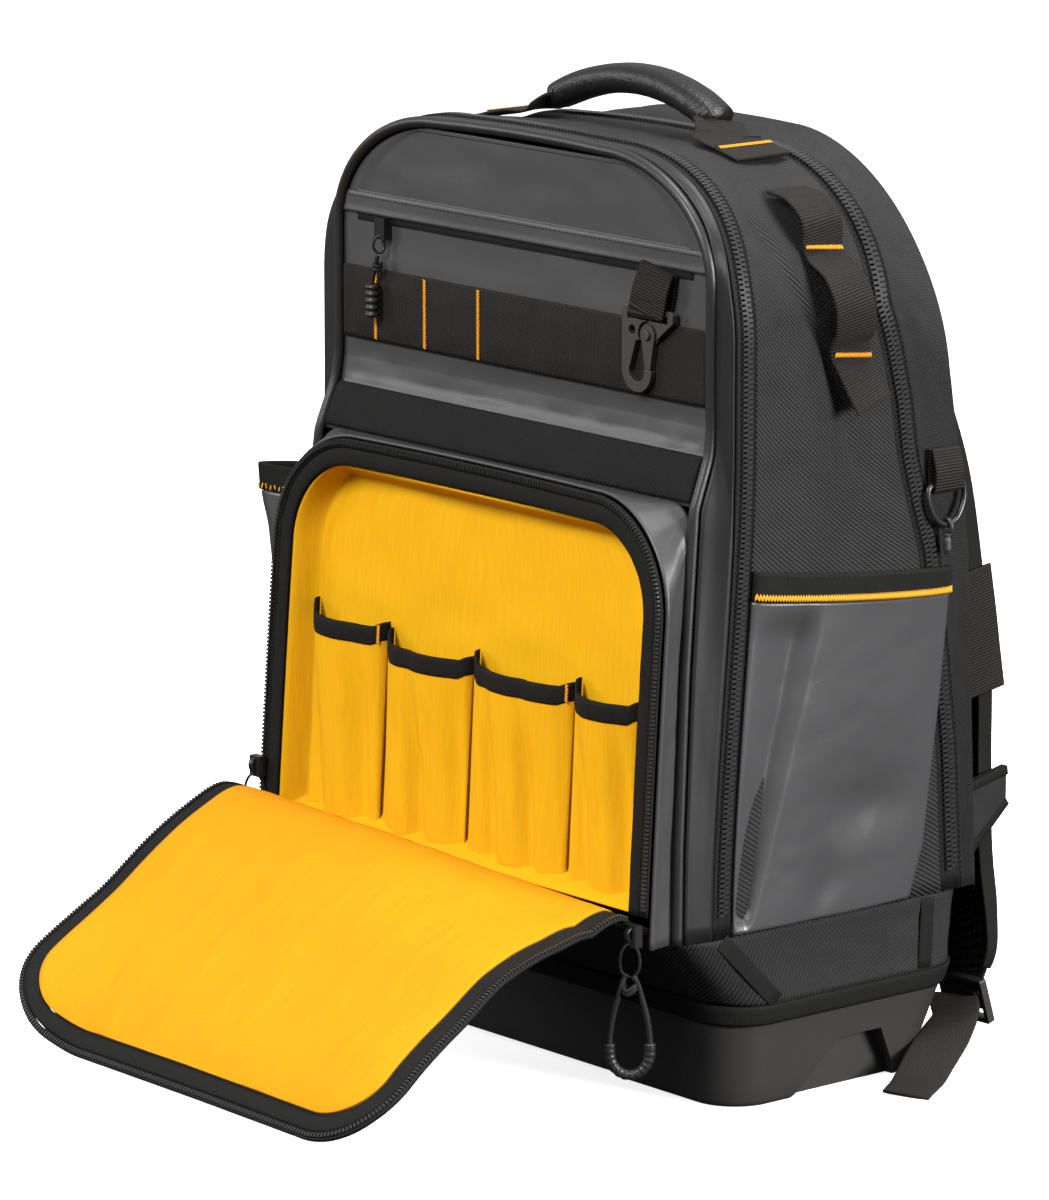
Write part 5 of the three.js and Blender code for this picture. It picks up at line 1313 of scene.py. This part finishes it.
def makeDoorPull(label, side, across, level):
    centre = np.array([side * across, rimY(level) - 1.5 - 0.72 - 2.3, level])
    foot = centre + (0, -2.3, -5.5 + 1.5 - 17)
    cadCopy("doorSlider" + label.title(), "door_slider_" + label, "darkMetal", 0.5)
    bridge = [centre + (0, -2.0, 4.2), centre + (0, -4.2, 2.5), centre + (0, -4.4, -0.5),
              centre + (0, -2.2, -3.4)]
    settle(sweep("sliderBridge" + label.title(), smoothPath(bridge, 16), (1, 0, 0), tapeSection, 3.2, 1.2,
                 "darkMetal"))
    route = [(-1.7, -1.5, 1.3), (-3.4, 0.2, -2), (-5, 0.8, -7), (-8.4, 0.8, -20), (-10, 0.8, -32)]
    for k in range(9):
        angle = math.pi * k / 8
        route.append((-10 * math.cos(angle), 0.8, -37.3 - 12 * math.sin(angle)))
    route += [(10, 0.8, -32), (8.4, 0.8, -20), (5, 0.8, -7), (3.4, 1.4, -2), (1.7, 1.9, 1.3)]
    line = smoothPath([at(foot, *p) for p in route], 60)
    cord = sweep("pullCord" + label.title(), line, towards, roundSection, 3, 3, "cordSkin")
    settle(cord, ["pull_cord_" + label])
    knot = [at(foot, 3.0 * math.cos(a), 0.8 + 2.6 * math.sin(a),
               -4.6 + 1.1 * math.sin(2 * a + 0.6) - 0.25 * a)
            for a in np.linspace(0, 4 * math.pi, 26)]
    knotPiece = sweep("pullKnot" + label.title(), smoothPath(knot, 90), (0, 0, 1), roundSection, 2.6, 2.6,
                      "cordSkin")
    settle(knotPiece)
    bend = [at(foot, -10, 0.8, -33.3)]
    for k in range(13):
        angle = math.pi * k / 12
        bend.append(at(foot, -10 * math.cos(angle), 0.8, -37.3 - 12 * math.sin(angle)))
    bend.append(at(foot, 10, 0.8, -33.3))
    gripLine = smoothPath(bend, 60)
    t = np.linspace(0, 1, 60)
    ridge = 1 + 0.07 * np.sin(2 * math.pi * t * 14) * edgeFade(t, 0.12)
    grip = sweep("pullGrip" + label.title(), gripLine, towards, roundSection, 5.4 * ridge, 5.4 * ridge,
                 "rubber")
    settle(grip, ["pull_grip_" + label])
    print("cord", label, lengthsOf(line)[-1])


makeDoorPull("right", 1, 150.5, bandTop * 1.087)
makeDoorPull("left", -1, 153, bandTop * 1.42)


def makeTopPull():
    centre = np.array([-108, edgeY(417) - gap - 2.3, 417.0])
    cadCopy("topSlider", "top_slider", "darkMetal", 0.5)
    start = centre + (0, -2.3 - 1.2, -5.5 + 1.5 - 9 - 0.8 - gap - 0.1)
    end = start + (-3, -1, -14)
    tip = end + (0, 0, -17.5)
    line = smoothPath([start, lerp(start, end, 0.5), end, lerp(end, tip, 0.5), tip], 40)
    cord = sweep("topCord", line, (1, 0, 0), roundSection, 2.4, 2.4, "cordSkin")
    settle(cord, ["top_cord"])
    axis = np.array([end + (0, 0, -gap - 18 * t) for t in np.linspace(0, 1, 49)])
    t = np.linspace(0, 1, 49)
    wave = 0.5 + 0.5 * np.sin(2 * math.pi * (t * 5 - 0.25))
    width = 8 * (0.78 + 0.22 * wave) * np.interp(t, [0, 0.03, 0.97, 1], [0.62, 1, 1, 0.55])
    grip = sweep("topGrip", axis, (1, 0, 0), roundSection, width, width, "rubber")
    settle(grip, ["top_grip"])
    knot = [start + (2.0 * math.cos(a), 2.0 * math.sin(a), -3.4 - 0.3 * a)
            for a in np.linspace(0, 4 * math.pi, 24)]
    knotPiece = settle(sweep("topKnot", smoothPath(knot, 60), (0, 0, 1), roundSection, 2.0, 2.0, "cordSkin"))
    print("top cord", lengthsOf(line)[-1])


makeTopPull()

# Hook and its tab
cadCopy("hookFrame", "hook_frame", "gunMetal", 0.45)
cadCopy("hookGate", "hook_gate", "gunMetal", 0.35, "gate")
cadCopy("hookRivet", "hook_rivet", "gunMetal", 0.3)


def makeTab():
    hookY = -86.7
    off = 2.65
    path = [(108, -83 - gap - 2.7, 422.7), (106, hookY - off * 0.8, 412), (104, hookY - off, 403)]
    for k in range(9):
        angle = math.pi * k / 8
        path.append((103, hookY - off * math.cos(angle), 399.5 - off * math.sin(angle) * 0.98))
    path += [(104, hookY + off, 403), (108, hookY + off, 422.7)]
    line = smoothPath(path, 70)
    settle(sweep("hookTab", line, (1, 0, 0), tapeSection, 26, 1.5, "webbing"), ["hook_tab"])
    for n, z in enumerate((406.5, 419)):
        nearest = int(np.argmin(np.abs(line[:30, 2] - z)))
        row = np.array([line[nearest] + (x, -0.85, 0) for x in np.linspace(-11.5, 11.5, 12)])
        settle(stitchLine(f"tabStitch{n}", row, (0, -1, 0), 1.7, 2.4, 0.5))


makeTab()


# Side pockets
pocketRear = np.array([(0, 0.45), (0.15, 0.56), (0.6, 0.69), (1, 0.78)])


def sidePocket(side, u, v, out=0.0):
    high = 277 - 14 * u
    z = lerp(95, high, v)
    front = zipRear(z) + gap
    rear = halfDepth * table(pocketRear, np.clip((z - 95) / (high - 95), 0, 1))
    share = lerp(0.25, 1, np.clip(v, 0, 1) ** 0.7)
    belly = 13 * np.sin(math.pi * np.clip(u, 0, 1)) ** 0.6 * share
    pull = 0.0
    if side < 0:
        gape = share * np.minimum(1, u * 16) * (1 - ease((u - 0.07) / 0.8))
        belly = belly + 60 * gape
        pull = 12 * gape
    return pack3(side * (halfWidth + gap + clothWall + belly + out), lerp(front, rear, u) - pull, z)


rimShare = 1 - 15 / 184  # where the cloth ends and its rim begins


def makeSidePocket(side, label):
    u, v = grid(90, 110)
    w = v * (rimShare - 0.002)
    crease = 0.5 + 0.5 * folds(u * 3.4 + w * 2.2, w * 7 - u * 2, 131 + side)
    slack = 0.5 + 0.5 * folds(u * 9 - w * 4, w * 12 + u * 3, 141 + side)
    ridge = lerp(0.07, 0.31, v ** 0.8)
    left = np.clip(u / ridge, 0, 1)
    valley = 10.5 * left ** 0.8 * ease((1 - left) / 0.3) * ease(v / 0.08) * ease((1 - v) / 0.12)
    hollow = 4.5 * np.exp(-((u - 0.62) / 0.2) ** 2 - ((v - 0.34) / 0.09) ** 2)
    hollow = hollow + 2.5 * np.exp(-((u - 0.45) / 0.08) ** 2 - ((v - 0.1) / 0.1) ** 2)
    loose = edgeFade(u, 0.22) * ease(v / 0.15) * (0.35 + 0.65 * ease((1 - v) / 0.15))
    deep = (1.0 * crease + 0.5 * slack) * loose + valley + hollow
    p = sidePocket(side, u, w, -deep)
    settle(gridShell("sidePocket" + label.title(), p, p - (side * clothWall, 0, 0), "pocketTarp"),
           ["side_pocket_" + label])
    u, v = grid(90, 10)
    lip = -0.5 * (1 - edgeFade(v, 0.12)) + 0.25 * softNoise(u * 12, v, 9)
    p = sidePocket(side, u, lerp(rimShare, 1, v), 1 + lip)
    inner = sidePocket(side, u, lerp(rimShare, 1, v), -1.6)
    settle(gridShell("sidePocketRim" + label.title(), p, inner, "binding"),
           ["side_pocket_rim_" + label])
    count = int((150 if side > 0 else 235) / 0.85)
    t = (np.arange(count) + 0.5) / count
    row = sidePocket(side, t, np.full(len(t), lerp(rimShare, 1, 0.14)), 1.1)
    lean = np.where(np.arange(len(t)) % 2 == 0, 1.0, -1.0)[:, None] * np.array([0, 0.3, 0])
    settle(repeat("sidePocketEdge" + label.title(), "stitch", row, np.array([0, 0, 1]) + lean,
                  np.broadcast_to(np.array([side, 0, 0]), row.shape), (4.4, 1.1, 0.9), "yellowThread"))
    line = sidePocket(side, np.linspace(0.02, 0.98, 80), np.full(80, lerp(rimShare, 1, 0.9)), 1.0)
    settle(stitchLine("sidePocketStitch" + label.title(), line, (side, 0, 0), 2.3, 3.1, 0.45))


makeSidePocket(1, "right")
makeSidePocket(-1, "left")
print("side pockets made")


# Handle and side loops
def gussetForm(y, z):
    v = np.clip((y - zipRear(z)) / (mainFront(z) - zipRear(z)), 0, 1)
    return blendForm(frontZipForm, mainZipForm, v)


def topLevel(x, y):
    form = gussetForm(y, bodyHeight)
    over = np.clip((abs(x) - (form["half"] - form["wide"])) / form["wide"], 0, 1)
    return form["top"] - form["high"] + form["high"] * (1 - over ** form["power"]) ** (1 / form["power"])


gripY = -3
footY = -13
gripMiddle = 506 - 7.75


def gripPoint(s):
    return np.array([s * 61, gripY - 2 * s * s, gripMiddle - 14 * s * s])


def makeHandle():
    line = smoothPath([gripPoint(s) for s in np.linspace(-1, 1, 9)], 90)
    t = np.linspace(0, 1, 90)
    rounded = 1 - 0.1 * np.abs(2 * t - 1) ** 8
    squeeze = 1 + 0.012 * np.sin(t * 60) * edgeFade(t, 0.2)
    grip = sweep("handleGrip", line, (0, 1, 0), gripSection, 21 * rounded * squeeze, 15.5 * rounded,
                 "gripSkin")
    settle(grip, ["handle_grip"])
    for n, s in enumerate((-0.93, 0.93)):
        c = gripPoint(s)
        ring = [c + (0, 10.1 * math.cos(a), 7.3 * math.sin(a)) for a in np.linspace(0, 2 * math.pi, 37)[:-1]]
        settle(sweep(f"gripSeam{n}", ring, (1, 0, 0), roundSection, 1.6, 1.6, "gripSkin", True))
    seam = smoothPath([gripPoint(s) + (0, -9.4, -3.6) for s in np.linspace(-0.92, 0.92, 9)], 70)
    settle(stitchLine("gripStitch", seam, (0, -0.8, -0.6), 2.4, 3.3, 0.6))
    end = 61.3
    lift = 1.6
    path = [
        (end, gripY - 2, gripMiddle - 14.9),
        ((end + 80) / 2, (gripY - 2 + footY) / 2, lerp(gripMiddle - 14, topLevel(80, footY), 0.62)),
        (79, footY, topLevel(79, footY) + lift + 1.4),
        (88, footY, topLevel(88, footY) + lift + 0.6),
        (104, footY, topLevel(104, footY) + lift + 0.6),
    ]
    for side, label in ((1, "right"), (-1, "left")):
        line = smoothPath([(side * x, y, z) for x, y, z in path], 60)
        spread = lerp(29, 36, ease(np.linspace(0, 1, 60) / 0.5))
        settle(sweep("handleWebbing" + label.title(), line, (0, 1, 0), tapeSection, spread, 2, "webbing"),
               ["handle_webbing_" + label])
        spot = int(np.argmin(np.abs(np.abs(line[:, 0]) - 90)))
        slope = unit(np.gradient(line, axis=0))[spot]
        normal = np.cross(slope, (0, 1, 0)) * (1 if side > 0 else -1)
        normal = normal if normal[2] > 0 else -normal
        c = line[spot] + normal * 1.1
        settle(bartack(f"handleTack{label.title()}", c + (0, -17, 0), c + (0, 17, 0), normal, 3.6))


gripSection = np.array([(math.copysign(abs(math.cos(a)) ** 0.72, math.cos(a)),
                         math.copysign(abs(math.sin(a)) ** 0.85, math.sin(a)))
                        for a in np.linspace(0, 2 * math.pi, 29)[:-1]])
makeHandle()

loopRows = [(456, -21, 0), (449, -21, 7), (440, -20, 9), (434, -18.5, 4), (430, -17.5, 0), (425, -17, 0.4),
            (416, -15.5, 7), (404, -13, 9.5), (391, -10.5, 6.5), (383, -9, 0.8), (378, -7.5, 0), (369, -5, 3),
            (360, -2, 6), (353, 0.5, 8.5)]


def loopPoint(z, y, lift):
    form = gussetForm(y, z)
    slope = halfAt(form, z + 1) - halfAt(form, z - 1)
    normal = unit(np.array([[2, 0, -slope]], float))[0]
    return np.array([halfAt(form, z), y, z]) + normal * (lift + 1.9), normal


loopLine = smoothPath([loopPoint(*row)[0] for row in loopRows], 110)
settle(sweep("sideLoops", loopLine, (0, 1, 0), tapeSection, 26, 2, "webbing"), ["side_loops"])
for n, (z, y) in enumerate(((430, -17.5), (378, -7.5))):
    place, normal = loopPoint(z, y, 1.1)
    settle(bartack(f"loopTack{n}", place + (0, -12, 1.2), place + (0, 12, -1.2), normal, 3.4))
print("handle made")

# Straps, buckles, tails, wings
strapRows = [(440, 64.6, -34), (410, 68.5, -26), (375, 76, -14), (342, 83.5, -6), (305, 93, -1),
             (257, 102, 0), (200, 110, 0), (150, 111, 0), (100, 111, 2), (70, 110, 9), (50, 107, 20),
             (38.2, 104, 24)]
strapMiddle = 107
bucklePlace = np.array([131, 108, 24.0])
buckleUp = np.array([0, -math.sin(0.3), math.cos(0.3)])
buckleOut = np.array([0, math.cos(0.3), math.sin(0.3)])


def bucklePoint(up, out):
    return bucklePlace + buckleUp * up + buckleOut * out


tailRoutes = {
    "right": [(134, 97, 25), (146, 87, 22), (158, 70, 17.5), (171, 46, 10), (182, 27, 4.5), (190.5, 10, 1.4)],
    "left": [(131, 100, 15), (131, 101, 7), (131, 107, 2.6), (131, 118, 1.6)],
}


def sweepMirrored(name, side, path, wide, *rest):
    path = np.asarray(path, float) * (side, 1, 1)
    wide = np.asarray(wide, float) * (side, 1, 1)
    return sweep(name, path, wide, *rest)


def makeStrap(side, label):
    line = smoothPath([(strapMiddle + x, y, z) for z, y, x in strapRows], 160)
    t = np.linspace(0, 1, 160)
    narrow = 1 - 0.5 * np.clip((t - 0.88) / 0.12, 0, 1) ** 2 - 0.25 * np.clip((0.12 - t) / 0.12, 0, 1)
    thin = 1 - 0.4 * np.clip((t - 0.88) / 0.12, 0, 1) - 0.3 * np.clip((0.1 - t) / 0.1, 0, 1)
    strap = sweepMirrored("shoulderStrap" + label.title(), side, line, (1, 0, 0), padSection,
                          66 * narrow - 1.2, 12 * thin, "airMesh")
    settle(strap, ["shoulder_strap_" + label])
    for n, edge in enumerate((-1, 1)):
        rim = line + np.array([1, 0, 0]) * (edge * (66 * narrow / 2 - 1.1))[:, None]
        cut = slice(2, -2)
        settle(sweepMirrored(f"strapEdge{label.title()}{n}", side, rim[cut], (1, 0, 0), tapeSection, 2.4,
                             9.5 * thin[cut], "binding"))
    cadCopy("strapBuckle" + label.title(), "strap_buckle_" + label, "plastic", 0.8)
    slotTop = 9.5
    off = 2.3 + gap + 1
    points = [(131, 112, 47), (131, 111.2, 41), bucklePoint(slotTop + 1, off + 0.3),
              bucklePoint(slotTop - 1.7, off * 0.8), bucklePoint(slotTop - 2.8, 0),
              bucklePoint(slotTop - 3.9, -off * 0.8), bucklePoint(slotTop - 6.6, -off - 0.3)]
    points += tailRoutes[label]
    turn = np.array([0.643, 0.766, -0.3]) if label == "right" else np.array([1, 0, 0.0])
    line = smoothPath(points, 120)
    t = np.linspace(0, 1, 120)[:, None]
    wide = lerp(np.array([1, 0, 0.0]), turn, ease((t - 0.32) / 0.3))
    wide = wide + np.array([0, 0, 1]) * (-turn[2] * ease((t - 0.7) / 0.25))
    settle(sweepMirrored("strapTail" + label.title(), side, line, wide, tapeSection, 25, 2, "webbing"),
           ["strap_tail_" + label])


makeStrap(1, "right")
makeStrap(-1, "left")


def makeWing(side, label):
    def place(u, v):
        root = pack3(148, backY(97.0) + gap, lerp(97, 139, v))
        tip = pack3(145.2, 122, lerp(128, 145, v))
        return (root + (tip - root) * u[..., None]) * (side, 1, 1)

    u, v = grid(40, 30)
    p = place(u, v)
    normal = gridNormals(p)
    inward = np.array([-side, 0, 0])
    if np.sum(normal[20, 15] * inward) < 0:
        normal = -normal
    puff = 0.6 * (1 - edgeFade(u, 0.1) * edgeFade(v, 0.15))
    wing = gridShell("hipWing" + label.title(), p + normal * puff[..., None],
                     p + normal * (4 - puff)[..., None], "woven")
    settle(wing, ["hip_wing_" + label])
    t = np.linspace(0, 1, 50)
    for n, v0 in enumerate((0.02, 0.98)):
        line = place(t, np.full(50, v0)) + inward * 2.0
        settle(sweep(f"wingEdge{label.title()}{n}", line, (0, 0.4, 1), tapeSection, 5, 4.6, "binding"))


makeWing(1, "right")
makeWing(-1, "left")
ringPlace = np.array([165.8, 56, 305.0])


def makeRing():
    off = 2.7

    def ringPoint(across, out, up):
        return ringPlace + np.array([out, across, up], float)

    wide = np.array([0, 1.0, 0])
    path = [ringPoint(0, -off, 19), ringPoint(0, -off, 8)]
    path += [ringPoint(0, -off * math.cos(math.pi * k / 8), -off * math.sin(math.pi * k / 8))
             for k in range(9)]
    path += [ringPoint(0, off, 8), ringPoint(0, -off + 2.4, 19)]
    settle(sweep("ringLoop", smoothPath(path, 70), wide, tapeSection, 19, 1.6, "webbing"),
           ["ring_loop"])
    outline = [(-11, 0), (-6, 0), (0, 0), (6, 0), (11, 0), (12.5, -4), (11, -11), (6.5, -17.5), (0, -20),
               (-6.5, -17.5), (-11, -11), (-12.5, -4)]
    line = smoothPath([ringPoint(a, -0.08 * z, z) for a, z in outline], 90, True)[:-1]
    settle(sweep("dRing", line, (1, 0, 0.08), roundSection, 3.2, 3.2, "darkMetal", True), ["d_ring"])
    eyePlace = ringPoint(0, 1.6, -20)
    eye = [(0, 3), (2.6, 1), (3, -2), (0, -4.4), (-3, -2), (-2.6, 1)]
    line = smoothPath([eyePlace + (o, 0, z) for o, z in eye], 36, True)[:-1]
    clip = sweep("snapClip", line, wide, roundSection, 2, 2, "plastic", True)
    settle(clip, ["snap_clip"])
    shaft = smoothPath([eyePlace + (0, 0, -4.0), eyePlace + (0, 0, -7), eyePlace + (0.2, 0, -10),
                        eyePlace + (0.5, 0, -15)], 30)
    t = np.linspace(0, 1, 30)
    width = np.interp(t, [0, 0.08, 0.2, 0.35, 0.8, 1], [2.6, 4.4, 3.4, 4.4, 4.4, 2.4])
    settle(sweep("snapClipShaft", shaft, wide, roundSection, width, width * 0.9, "plastic"))


makeRing()
trimLine = smoothPath([(141.5, 99, 252), (141.5, 103, 230), (141.5, 107, 205), (141.5, 110, 187)], 50)
settle(sweep("strapTrim", trimLine, (0, 1, 0), tapeSection, 25, 2, "webbing"), ["strap_trim"])
print("carrying system made")
